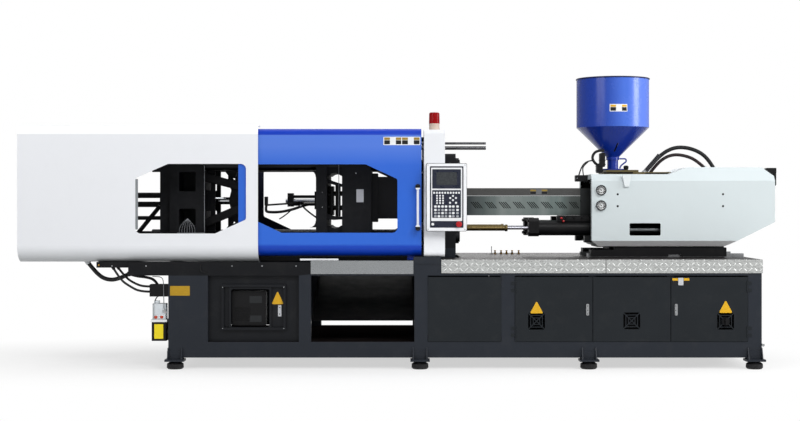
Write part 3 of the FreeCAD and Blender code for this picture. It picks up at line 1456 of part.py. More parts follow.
def injection_plate():
    """Sliding plate that carries the screw and its motor, with the two ram rods."""
    x0 = injection_plate_x
    x1 = x0 + injection_plate_thickness
    outline = [(axis_y - 225, axis_z + 90, 20), (axis_y - 225, axis_z - 90, 10),
               (axis_y - 255, guide_rod_z + 45, 10), (axis_y - 255, guide_rod_z - 40, 10),
               (axis_y - 175, guide_rod_z - 40, 10), (axis_y - 130, axis_z - 90, 20),
               (axis_y + 130, axis_z - 90, 20), (axis_y + 175, guide_rod_z - 40, 10),
               (axis_y + 255, guide_rod_z - 40, 10), (axis_y + 255, guide_rod_z + 45, 10),
               (axis_y + 225, axis_z - 90, 10), (axis_y + 225, axis_z + 90, 20)]
    plate = prism_x(outline, x0, x1)
    bores = [rod_x(x0 - 1, x1 + 1, axis_y + s * guide_rod_y, guide_rod_z,
                   guide_rod_radius + tie_bar_fit) for s in (-1, 1)]
    bearing = rod_x(x0 - 1, x1 + 1, axis_y, axis_z, 40.1)
    rams = []
    for side in (-1, 1):
        y = axis_y + side * 175
        rams.append(fused(rod_x(ram_piston_x, x0 + 1, y, axis_z, 18),
                          rod_x(ram_piston_x, ram_piston_x + 25, y, axis_z, 34.9)))
    return fused(cut(plate, *bores, bearing), *rams)


def screw_motor():
    """Hydraulic motor behind the injection plate."""
    x = injection_plate_x + injection_plate_thickness
    body = turned([(0, 0), (0, 110), (60, 110, 8), (60, 90), (150, 90, 10), (150, 60),
                   (185, 60), (185, 0)], (x, axis_y, axis_z), (1, 0, 0))
    ports = [rod_z(axis_z + 80, axis_z + 120, x + 100, axis_y + s * 40, 16) for s in (-1, 1)]
    hollow = rod_x(x - 1, x + 60, axis_y, axis_z, 40.1)
    return cut(fused(body, *ports), hollow)


def coupling_sleeve():
    """Turning sleeve that joins the screw to the motor, in the injection plate's bearing."""
    return rod_x(injection_plate_x - 40, injection_plate_x + injection_plate_thickness + 55,
                 axis_y, axis_z, 40)


def shell_form(inset):
    """The injection cover's outer form, or the same form set in by a wall."""
    half = shell_half - inset
    shoulder = 210.0 - inset
    top = shell_rear_top - inset
    bottom = shell_bottom - (1 if inset else 0)   # the inner form leaves the underside open
    section = [(axis_y - half, shell_face_bottom), (axis_y - half, shell_face_top),
               (axis_y - shoulder, top), (axis_y + shoulder, top),
               (axis_y + half, shell_face_top), (axis_y + half, shell_face_bottom),
               (axis_y + half - 42, bottom),
               (axis_y - half + 42, bottom)]
    outline = [(shell_left + inset, shell_face_bottom),
               (shell_left + 45 + inset, bottom),
               (1891 - inset, bottom),
               (shell_right - inset, 834 + inset), (shell_right - inset, shell_face_top + 30),
               (shell_right - 60 - inset, top), (1680 - inset * 0.4, top),
               (1568 - inset * 0.4, shell_front_top - inset),
               (shell_left + inset, shell_front_top - inset)]
    along = prism_x(section, shell_left - 5, shell_right + 5)
    side = prism_y(outline, axis_y - half - 5, axis_y + half + 5)
    return along.common(side)


def injection_cover():
    """Folded cover round the injection unit, with the gauges' housings on its front."""
    shell = shell_form(0).cut(shell_form(sheet))
    slot = prism_y([(1321, 754, 8), (1504, 754, 8), (1504, 827, 8), (1321, 827, 8)],
                   axis_y - shell_half - 10, axis_y - shell_half + 60)
    barrel_way = box(shell_left - 10, shell_left + 10, axis_y - 250, axis_y + 250,
                     shell_bottom - 10, shell_front_top - 30)
    top_way = box(rail_plate_left - 2, rail_plate_right + 2, axis_y - rail_plate_half - 2,
                  axis_y + rail_plate_half + 2, shell_front_top - 20, shell_rear_top + 10)
    hose_ways = [rod_z(shell_front_top - 20, shell_front_top + 1, x, arc_hose_y, 24)
                 for x in (upper_arc_route[0][0], low_arc_route[0][0])]
    shell = cut(shell, slot, mirrored(slot), barrel_way, top_way, *hose_ways)
    gauges = []
    y = axis_y - shell_half
    for z in (1022, 932):
        gauges.append(rod_y(y - 9, y, 1152, z, 33))
    spout = prism_y([(1276, 1112), (1330, 1112), (1316, 1043), (1290, 1043)], y - 16, y)
    gusset = prism_x([(y, 1043), (y - 16, 1050), (y - 16, 1112), (y + 20, 1112), (y, 1080)],
                     1288, 1318)
    hose_ends = [stub(upper_arc_route, 15, 14, "far"), stub(low_arc_route, 13, 14, "far")]
    return fused(shell, *gauges, fused(spout, gusset), *hose_ends, elbow_connector())


def cover_brackets():
    """Arms of the saddle that the injection cover is screwed to."""
    arms = []
    inner = axis_y - shell_half + sheet
    for x in (1530, 1800):
        post = box(x, x + 40, axis_y - 212, axis_y - 200, carriage_top - 1, 737)
        arm = box(x, x + 40, inner, axis_y - 200, 725, 737)
        lip = box(x, x + 40, inner, inner + 3, 725, 760)
        arms += both_sides(fused(post, arm, lip))
    return arms


# ---------------------------------------------------------------- hopper
collar_low = 62.0         # collar that holds the gate, from the hopper's base
collar_high = 81.0
gate_z = hopper_base_z + 68.4


def hopper():
    """Spun hopper: rolled rim, cylinder, cone, neck and bolting flange."""
    w = hopper_wall
    height = hopper_rim_z - hopper_base_z
    r, n = hopper_radius, hopper_neck_radius
    cone_top = hopper_cylinder_z - hopper_base_z
    cone_bottom = hopper_cone_z - hopper_base_z
    profile = [(0, n - 8), (0, 70), (8, 70), (8, n), (collar_low, n), (collar_low, n + 7),
               (collar_high, n + 7), (cone_top, r),
               (height - 8, r), (height - 8, r + 4, 2), (height, r + 4, 2),
               (height, r - w), (cone_top + 1, r - w), (cone_bottom + 1, n - w), (10, n - w),
               (10, n - 8)]
    body = turned(profile, (hopper_x, axis_y, hopper_base_z), (0, 0, 1))
    gate_way = box(hopper_x - n - 10, hopper_x + n + 14, axis_y - 29, axis_y + 29,
                   gate_z - 0.4, gate_z + 3.6)
    sight = prism_y([(hopper_x - 6, hopper_cone_z + 36), (hopper_x + 4, hopper_cone_z + 36),
                     (hopper_x + 20, hopper_cone_z + 88), (hopper_x + 10, hopper_cone_z + 88)],
                    axis_y - hopper_radius, axis_y - 20)
    return cut(body, gate_way, sight)


def hopper_gate():
    """Slide that shuts the hopper's neck, with its bent-rod handle."""
    n = hopper_neck_radius
    blade = box(hopper_x - n - 4, hopper_x + n + 14, axis_y - 28, axis_y + 28, gate_z,
                gate_z + 3.2)
    grip_z = gate_z + 1.6
    grip = hose([(hopper_x + n + 10, axis_y, grip_z), (hopper_x + n + 47, axis_y, grip_z),
                 (hopper_x + n + 51, axis_y, grip_z - 16),
                 (hopper_x + n + 17, axis_y, grip_z - 42),
                 (hopper_x + n + 10, axis_y, grip_z - 59)], 4.5, "gate handle")
    return fused(blade, grip)


def hopper_plates():
    """Plates that the hopper stands on and slides along for emptying."""
    upper = box(plate_left, plate_right, axis_y - 95, axis_y + 95, hopper_base_z - 13,
                hopper_base_z)
    lower = box(rail_plate_left, rail_plate_right, axis_y - rail_plate_half,
                axis_y + rail_plate_half, shell_front_top - 12, hopper_base_z - 13)
    throat = rod_z(shell_front_top - 20, hopper_base_z + 1, hopper_x, axis_y, 25)
    return cut(fused(upper, lower), throat)


# ---------------------------------------------------------------- lubrication unit
lube_bottom = 158.0
lube_top = 370.0


def lube_unit():
    """Pump body with its clear reservoir and cap, on a bracket at the end of the base."""
    x0, x1 = base_left - 98, base_left - 13
    y = front_y + 60
    body = prism_z([(x0, y - 42, 8), (x1, y - 42, 8), (x1, y + 42, 8), (x0, y + 42, 8)],
                   lube_bottom, lube_bottom + 108)
    flange = box(x0 - 4, x1 + 4, y - 46, y + 46, lube_bottom + 108, lube_bottom + 122)
    tank = prism_z([(x0 + 4, y - 38, 10), (x1 - 4, y - 38, 10), (x1 - 4, y + 38, 10),
                    (x0 + 4, y + 38, 10)], lube_bottom + 122, lube_top)
    cap = rod_z(lube_top, lube_top + 16, x0 + 25, y, 17)
    bracket = box(x1, base_left, y - 30, y + 30, lube_bottom + 42, lube_bottom + 62)
    wall = box(base_left - 4, base_left, y - 34, y + 34, lube_bottom + 2, lube_bottom + 122)
    return [fused(body, flange, bracket, wall), fused(tank, cap)]


def hose_bracket():
    """Terminal block at the left leg that the two thin hoses and the grease hose end in."""
    x0 = base_left - 110
    block = box(x0, base_left, front_y + 24, front_y + 100, beam_bottom - 121,
                beam_bottom - 52)
    return fused(block, stub(grease_hose_route, 5, 12, "near"))


# ---------------------------------------------------------------- hoses
arc_hose_y = axis_y + 175.0
hose_mouth_z = shell_front_top + 3


def route(x, y, z, steps):
    """Control points of a hose in a plane across the machine, from steps in X and Z."""
    return [(x + dx, y, z + dz) for dx, dz in steps]


beam_hose_route = route(base_left, front_y + 120, cover_bottom,
                        [(-477, -12), (-431, -72), (-375, -106), (-309, -104), (-249, -74)])
lube_hose_route = route(base_left, front_y + 75, beam_bottom,
                        [(-293, 34), (-253, -18), (-201, -50), (-155, -66), (-110, -66)])
return_hose_route = route(base_left, front_y + 47, beam_bottom,
                          [(-317, 34), (-279, -28), (-229, -62), (-171, -94), (-110, -94)])
grease_hose_route = route(base_left, front_y + 87, lube_top,
                          [(-73, 39), (-89, 26), (-89, 0)])
upper_arc_route = route(1474, arc_hose_y, hose_mouth_z,
                        [(0, 0), (71, 82), (138, 144), (208, 174), (288, 170), (364, 140),
                         (414, 93), (442, 46)])
low_arc_route = route(1512, arc_hose_y, hose_mouth_z,
                      [(0, 0), (50, 67), (106, 112), (164, 129), (232, 120), (296, 94),
                       (346, 48)])


def stub(route, radius, length, end):
    """Fitting that holds one end of a hose, in line with it."""
    tip, behind = (route[0], route[1]) if end == "near" else (route[-1], route[-2])
    out = (V(*tip) - V(*behind)).normalize()
    return Part.makeCylinder(radius, length, V(*tip), out)


def clamp_hoses():
    return [hose(beam_hose_route, 12, "beam hose")]


def lube_hoses():
    return [hose(lube_hose_route, 6.5, "lube hose"), hose(return_hose_route, 6.5, "return hose"),
            hose(grease_hose_route, 3, "grease hose")]


def arc_hoses():
    return [hose(upper_arc_route, 12, "upper arc hose"), hose(low_arc_route, 10, "lower arc hose")]


def elbow_connector():
    """Angled plug at the far end of the injection cover."""
    y = axis_y - 160
    neck = rod_x(shell_right - 1, shell_right + 21, y, 1085, 14)
    body = rod_z(1049, 1148, shell_right + 21, y, 16)
    return fused(neck, body)


# ---------------------------------------------------------------- write every piece
os.makedirs("parts", exist_ok=True)
print(f"stroke {clamp_stroke:.1f}, crosshead travel {crosshead_travel:.1f}, "
      f"drive rate {drive_rate:.3f}, drive angle {math.degrees(drive_start):.2f}")

write("base_frame", base_frame())
write("levelling_feet", *levelling_feet())
write("front_panels", *front_panels())
write("back_panels", *back_panels())
write("deck_plates", *deck_plates())
write("product_chute", product_chute())
write("fixed_platen", fixed_platen())
write("rear_platen", *rear_platen())
write("moving_platen", *moving_platen())
write("tie_bars", *tie_bars())
write("safety_bar", *safety_bar())
write("rear_link_upper", *rear_link())
write("rear_link_lower", *[flipped(s) for s in rear_link()])
write("front_link_upper", *front_link(pin_fit))
write("front_link_lower", *[flipped(s) for s in front_link(open_fit)])
write("crosshead", crosshead())
write("piston_rod", piston_rod())
write("clamp_cylinder", clamp_cylinder())
write("clamp_valves", clamp_valves())
write("ejector_cylinder", ejector_cylinder())
write("ejector_plate", ejector_plate())
write("mould_fixed_half", mould_fixed_half())
write("mould_moving_half", mould_moving_half())
write("clamp_cover_front", clamp_cover_front())
write("clamp_cover_back", clamp_cover_back())
write("front_door", front_door())
write("back_door", back_door())
write("front_door_handle", *front_handle())
write("back_door_handle", *back_handle())
write("door_rails", *door_rails())
write("column_covers", *column_covers())
write("control_panel", control_panel())
write("keypad_overlay", keypad_overlay())
write("emergency_stop", emergency_stop())
write("start_button", start_button())
write("alarm_lamp", *alarm_lamp())
write("left_cabinet_door", left_cabinet_door())
write("right_cabinet_door", right_cabinet_door())
write("left_door_latch", left_latch())
write("right_door_latch", right_latch())
write("hydraulic_pump", hydraulic_pump())
write("electrical_plate", electrical_plate())
write("main_switch", main_switch())
write("carriage_guides", *carriage_guides())
write("shift_cylinders", *shift_cylinders())
write("carriage_base", fused(carriage_base(), *cover_brackets()))
write("barrel", barrel())
write("barrel_guard", barrel_guard())
write("screw", fused(screw(), coupling_sleeve()))
write("injection_cylinders", *injection_cylinders())
write("injection_plate", injection_plate())
write("screw_motor", screw_motor())
write("injection_cover", injection_cover())
write("hopper", hopper())
write("hopper_gate", hopper_gate())
write("hopper_plates", hopper_plates())
write("lube_unit", *lube_unit(), hose_bracket())
write("clamp_hoses", *clamp_hoses())
write("lube_hoses", *lube_hoses())
write("arc_hoses", *arc_hoses())
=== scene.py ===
import bpy
import bmesh
import math
from functools import lru_cache
from mathutils import Matrix, Vector


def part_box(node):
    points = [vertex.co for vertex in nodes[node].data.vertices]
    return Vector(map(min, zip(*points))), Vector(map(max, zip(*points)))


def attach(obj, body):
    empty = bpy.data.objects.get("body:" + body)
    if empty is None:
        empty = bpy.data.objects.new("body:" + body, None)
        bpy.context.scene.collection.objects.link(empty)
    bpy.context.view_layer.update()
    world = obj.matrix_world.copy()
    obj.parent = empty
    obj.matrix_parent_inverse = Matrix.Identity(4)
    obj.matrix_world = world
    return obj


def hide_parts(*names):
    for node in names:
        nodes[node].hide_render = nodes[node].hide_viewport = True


# Finishes, small fittings, light and camera for the injection moulding machine. Sizes in the
# helpers below are in millimetres, as in the CAD model, and are turned into metres on the way in.

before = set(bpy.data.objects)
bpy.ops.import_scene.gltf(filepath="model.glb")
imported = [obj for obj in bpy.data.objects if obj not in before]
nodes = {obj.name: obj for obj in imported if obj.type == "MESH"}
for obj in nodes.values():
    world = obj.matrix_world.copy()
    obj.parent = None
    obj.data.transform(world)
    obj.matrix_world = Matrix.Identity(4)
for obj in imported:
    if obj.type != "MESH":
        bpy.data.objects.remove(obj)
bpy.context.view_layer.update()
MM = 0.001


@lru_cache
def low(node):
    """Lowest corner of a CAD node, in millimetres."""
    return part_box(node)[0] / MM


@lru_cache
def high(node):
    """Highest corner of a CAD node, in millimetres."""
    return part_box(node)[1] / MM


# places read from the frame
FRONT = low("clamp_cover_front").y            # outer face of the covers
PANEL = low("control_panel").y                # front face of the control panel
BIN = high("hopper").z - 296                  # foot of the hopper's cylinder
SHELL = low("injection_cover").y + 16         # front face of the injection cover
AXIS_Y = (low("fixed_platen").y + high("fixed_platen").y) / 2
AXIS_Z = (low("barrel").z + high("barrel").z) / 2
HOPPER_X = (low("hopper").x + high("hopper").x) / 2
DOOR = low("front_door").y                    # face of the front door
BASE, CARRIAGE = "machine_base", "carriage_body"
OUTWARD, UP = (0, -1, 0), (0, 0, 1)

# ---- camera
CAMERA_DISTANCE = 8200.0      # from the covers' front face
CAMERA_HEIGHT = 942.0
CAMERA_X = -36.0
LENS = 64.74
SHIFT = (0.0006, -0.0085)
PICTURE_WIDTH = 800
MID_X, HORIZON = 399.5, 203.7
NEAR_SCALE = 36.0 / LENS * CAMERA_DISTANCE / PICTURE_WIDTH


def placed(name, data):
    """A new object in the scene."""
    made = bpy.data.objects.new(name, data)
    bpy.context.scene.collection.objects.link(made)
    return made


def make_camera():
    data = bpy.data.cameras.new("camera")
    data.lens = LENS
    data.shift_x, data.shift_y = SHIFT
    data.clip_end = 200.0
    camera = placed("camera", data)
    camera.location = Vector((CAMERA_X, FRONT - CAMERA_DISTANCE, CAMERA_HEIGHT)) * MM
    camera.rotation_euler = (math.radians(90), 0, 0)
    bpy.context.scene.camera = camera


def at(px, py, y):
    """Place in the frame, in millimetres, of a picture point that lies in the plane at y."""
    scale = NEAR_SCALE * (CAMERA_DISTANCE + y - FRONT) / CAMERA_DISTANCE
    return Vector(((px - MID_X) * scale + CAMERA_X, y, CAMERA_HEIGHT - (py - HORIZON) * scale))


def trace(y, *points):
    """Places of picture points in the plane at y, or behind it by a point's third number."""
    return [at(px, py, y + sum(behind)) for px, py, *behind in points]


# ---- material helpers
M = {}      # the finishes by name


def linear(colour):
    """Linear colour from 0..255 sRGB."""
    values = []
    for c in colour:
        c = c / 255
        values.append(c / 12.92 if c <= 0.04045 else ((c + 0.055) / 1.055) ** 2.4)
    return (*values, 1.0)


def scaled(colour, factor):
    return tuple(min(1.0, c * factor) for c in colour[:3]) + (1.0,)


class Finish:
    """A node material under construction."""

    def __init__(self, name):
        self.material = M[name] = bpy.data.materials.new(name)
        self.material.use_nodes = True
        self.tree = self.material.node_tree
        self.tree.nodes.clear()
        self.surface = self.node("OutputMaterial").inputs["Surface"]
        self.shader = self.node("BsdfPrincipled")
        self.feed(self.surface, self.shader.outputs["BSDF"])
        self.place = self.node("TexCoord").outputs["Object"]

    def feed(self, socket, value):
        """Gives an input a number or colour of its own, or another node's output."""
        if isinstance(value, (int, float, tuple)):
            socket.default_value = value
        else:
            self.tree.links.new(value, socket)

    def node(self, kind, inputs=(), **settings):
        made = self.tree.nodes.new("ShaderNode" + kind)
        for key, value in settings.items():
            setattr(made, key, value)
        for key, value in dict(inputs).items():
            self.feed(made.inputs[key], value)
        return made

    def math(self, operation, *values):
        return self.node("Math", enumerate(values), operation=operation).outputs[0]

    def axes(self):
        """The X, Y and Z of a point."""
        return self.node("SeparateXYZ", {0: self.place}).outputs

    def noise(self, scale, detail=3.0, stretch=None, rough=0.55):
        source = self.place
        if stretch:
            source = self.node("Mapping", {"Scale": stretch, "Vector": source}).outputs[0]
        return self.node("TexNoise", {"Scale": scale, "Detail": detail, "Roughness": rough,
            "Vector": source}).outputs["Fac"]

    def ramp(self, value, start, end, to_start=0.0, to_end=1.0):
        return self.node("MapRange", {"Value": value, "From Min": start, "From Max": end,
            "To Min": to_start, "To Max": to_end}).outputs["Result"]

    def mix(self, factor, first, second):
        return self.node("Mix", {"Factor": factor, "A": first, "B": second},
            data_type="RGBA").outputs["Result"]

    def blend(self, pattern, start, end, first, second):
        """The first colour where the pattern is under start, the second where it is over end."""
        return self.mix(self.ramp(pattern, start, end), first, second)

    def bump(self, height, distance, strength=1.0, **onto):
        """Relief, on top of another where that is given as Normal."""
        normal = self.node("Bump", {"Strength": strength, "Distance": distance, "Height": height,
            **onto}).outputs["Normal"]
        self.set(Normal=normal)
        return normal

    def set(self, **values):
        for key, value in values.items():
            self.feed(self.shader.inputs[key.replace("_", " ")], value)


def painted(name, colour, rough=0.4, tone=0.08, dust=0.0, coat=0.0, shine=0.5, levels=(),
            across=()):
    """Sprayed paint: slight mottling, orange peel, dust that gathers in patches. Each entry of
    levels (height) and across (x) is metres from, metres to and the colour beyond them; these
    bands are painted light and shade."""
    finish = Finish(name)
    base = linear(colour)
    body = finish.blend(finish.noise(2.3, 4.0), 0.35, 0.65, scaled(base, 1 - tone),
        scaled(base, 1 + tone))
    x, _, z = finish.axes()
    for axis, steps in ((x, across), (z, levels)):
        for start, end, shade in steps:
            body = finish.blend(axis, start, end, body, linear(shade))
    if dust:
        film = finish.ramp(finish.noise(9.0, 6.0, rough=0.7), 0.52, 0.75, 0.0, dust)
        body = finish.mix(film, body, linear((120, 116, 108)))
    finish.bump(finish.noise(900.0, 2.0), 0.00006)
    finish.set(Base_Color=body, Coat_Weight=coat, Coat_Roughness=0.12, Specular_IOR_Level=shine,
        Roughness=finish.ramp(finish.noise(14.0, 5.0), 0.3, 0.7, rough - 0.05, rough + 0.07))


def cast(name, colour, rough=0.62, shine=0.22):
    """Painted casting: coarse skin below the paint."""
    finish = Finish(name)
    base = linear(colour)
    skin = finish.bump(finish.noise(160.0, 5.0), 0.0006, 0.7)
    finish.bump(finish.noise(22.0, 3.0), 0.0012, 0.4, Normal=skin)
    body = finish.blend(finish.noise(5.0, 5.0), 0.3, 0.7, scaled(base, 0.8), scaled(base, 1.25))
    finish.set(Base_Color=body, Specular_IOR_Level=shine,
        Roughness=finish.ramp(finish.noise(30.0, 4.0), 0.3, 0.7, rough - 0.08, rough + 0.1))


def brushed(name, colour, rough=0.3, tone=0.12, metal=1.0, stretch=(1.0, 24.0, 24.0), scale=60.0):
    """Metal with fine lines in one direction, along the machine unless stretch says otherwise."""
    finish = Finish(name)
    base = linear(colour)
    lines = finish.noise(scale, 6.0, stretch=stretch)
    body = finish.blend(lines, 0.3, 0.7, scaled(base, 1 - tone), scaled(base, 1 + tone))
    cloud = finish.ramp(finish.noise(3.0, 3.0), 0.4, 0.8, 0.0, 0.35)
    finish.bump(lines, 0.00008, 0.6)
    finish.set(Base_Color=finish.mix(cloud, body, scaled(base, 0.72)), Metallic=metal,
        Roughness=finish.ramp(lines, 0.25, 0.75, rough - 0.07, rough + 0.1))


def moulded(name, colour, rough=0.4, tone=0.05, shine=0.4):
    """Moulded plastic with a fine grain."""
    finish = Finish(name)
    base = linear(colour)
    finish.bump(finish.noise(1400.0, 2.0), 0.00008, 0.5)
    body = finish.blend(finish.noise(7.0, 3.0), 0.3, 0.7, scaled(base, 1 - tone),
        scaled(base, 1 + tone))
    finish.set(Base_Color=body, Specular_IOR_Level=shine,
        Roughness=finish.ramp(finish.noise(40.0, 3.0), 0.3, 0.7, rough - 0.05, rough + 0.06))


def rubber(name, colour, tint):
    """Hose rubber with a cloth print and scuffs."""
    finish = Finish(name)
    scuff = finish.ramp(finish.noise(60.0, 6.0), 0.5, 0.8, 0.0, 0.5)
    finish.bump(finish.noise(700.0, 3.0), 0.0002, 0.6)
    finish.set(Base_Color=finish.mix(scuff, linear(colour), linear(tint)),
        Roughness=finish.ramp(finish.noise(90.0, 3.0), 0.3, 0.7, 0.45, 0.68),
        Specular_IOR_Level=0.3)


def tread_plate(name, dull, bright, raised):
    """Tread plate: raised lozenges in alternate directions, with a joint across it."""
    pitch, half_long, half_short = 0.030, 0.40, 0.13
    joint, diagonal = 1.141, 0.7071
    finish = Finish(name)
    do = finish.math
    x, y, z = finish.axes()
    u = do("MULTIPLY", x, 1 / pitch)
    v = do("MULTIPLY", do("ADD", y, z), 1 / pitch)
    cell = do("ADD", do("FLOOR", u), do("FLOOR", v))
    side = do("MULTIPLY_ADD", do("PINGPONG", cell, 1.0), 2.0, -1.0)
    p = do("SUBTRACT", do("FRACT", u), 0.5)
    q = do("MULTIPLY", do("SUBTRACT", do("FRACT", v), 0.5), side)
    along = do("MULTIPLY", do("ADD", p, q), diagonal / half_long)
    over = do("MULTIPLY", do("SUBTRACT", p, q), diagonal / half_short)
    reach = do("ADD", do("POWER", along, 2.0), do("POWER", over, 2.0))
    lozenge = finish.ramp(reach, 0.55, 1.1, 1.0, 0.0)
    scratch = finish.noise(70.0, 6.0, stretch=(1.0, 6.0, 6.0))
    body = finish.mix(lozenge, finish.blend(scratch, 0.3, 0.75, linear(dull), linear(bright)),
        linear(raised))
    gap = do("ABSOLUTE", do("SUBTRACT", x, joint))
    finish.bump(lozenge, 0.0022)
    finish.set(Base_Color=finish.blend(gap, 0.001, 0.002, linear((40, 40, 40)), body),
        Roughness=finish.ramp(scratch, 0.3, 0.7, 0.24, 0.42), Metallic=0.72)


def guard_steel(fold=0.990, dark_end=1.056):
    """Stainless guard: cloudy side with a greenish cast, darker strip above the fold, a painted
    highlight along the fold, darker towards both ends, and a dark plate at the feed end."""
    finish = Finish("guard_steel")
    x, _, z = finish.axes()
    cloud = finish.noise(5.0, 3.0, stretch=(1.0, 0.05, 0.05))
    lines = finish.noise(60.0, 5.0, stretch=(1.0, 1.0, 22.0))
    side = finish.blend(cloud, 0.36, 0.66, linear((98, 114, 111)), linear((150, 156, 154)))
    side = finish.mix(finish.ramp(lines, 0.3, 0.7, 0.0, 0.2), side, linear((76, 84, 84)))
    side = finish.blend(x, 0.37, 0.58, linear((54, 60, 62)), side)
    side = finish.blend(x, 0.93, 1.0, side, linear((78, 84, 82)))
    strip = finish.blend(lines, 0.3, 0.7, linear((70, 70, 69)), linear((90, 90, 89)))
    body = finish.blend(z, fold - 0.0004, fold + 0.0004, side, strip)
    # painted highlight: a light line along the fold
    fold_painted_highlight = finish.math("ABSOLUTE", finish.math("SUBTRACT", z, fold))
    body = finish.blend(fold_painted_highlight, 0.0012, 0.0022, linear((190, 192, 192)), body)
    body = finish.blend(x, dark_end - 0.001, dark_end + 0.001, body, linear((50, 52, 53)))
    finish.bump(lines, 0.00008, 0.6)
    finish.set(Base_Color=body, Roughness=finish.ramp(lines, 0.25, 0.75, 0.3, 0.46), Metallic=0.75)


def glowing(name, colour, strength):
    """Lens or screen that glows a little, uneven like a moulded lens."""
    finish = Finish(name)
    base = linear(colour)
    finish.bump(finish.noise(300.0, 2.0), 0.00006, 0.4)
    finish.set(Base_Color=finish.mix(finish.noise(60.0, 2.0), scaled(base, 0.8), base),
        Roughness=finish.ramp(finish.noise(80.0, 2.0), 0.3, 0.7, 0.2, 0.34), Emission_Color=base,
        Emission_Strength=strength, Specular_IOR_Level=0.14)


def clear_tank():
    finish = Finish("clear_tank")
    finish.bump(finish.noise(120.0, 2.0), 0.0002, 0.3)
    body = finish.mix(finish.noise(18.0, 3.0), linear((214, 222, 228)), linear((238, 242, 245)))
    finish.set(Base_Color=body, Transmission_Weight=0.55, IOR=1.45,
        Roughness=finish.ramp(finish.noise(50.0, 3.0), 0.3, 0.7, 0.12, 0.24))


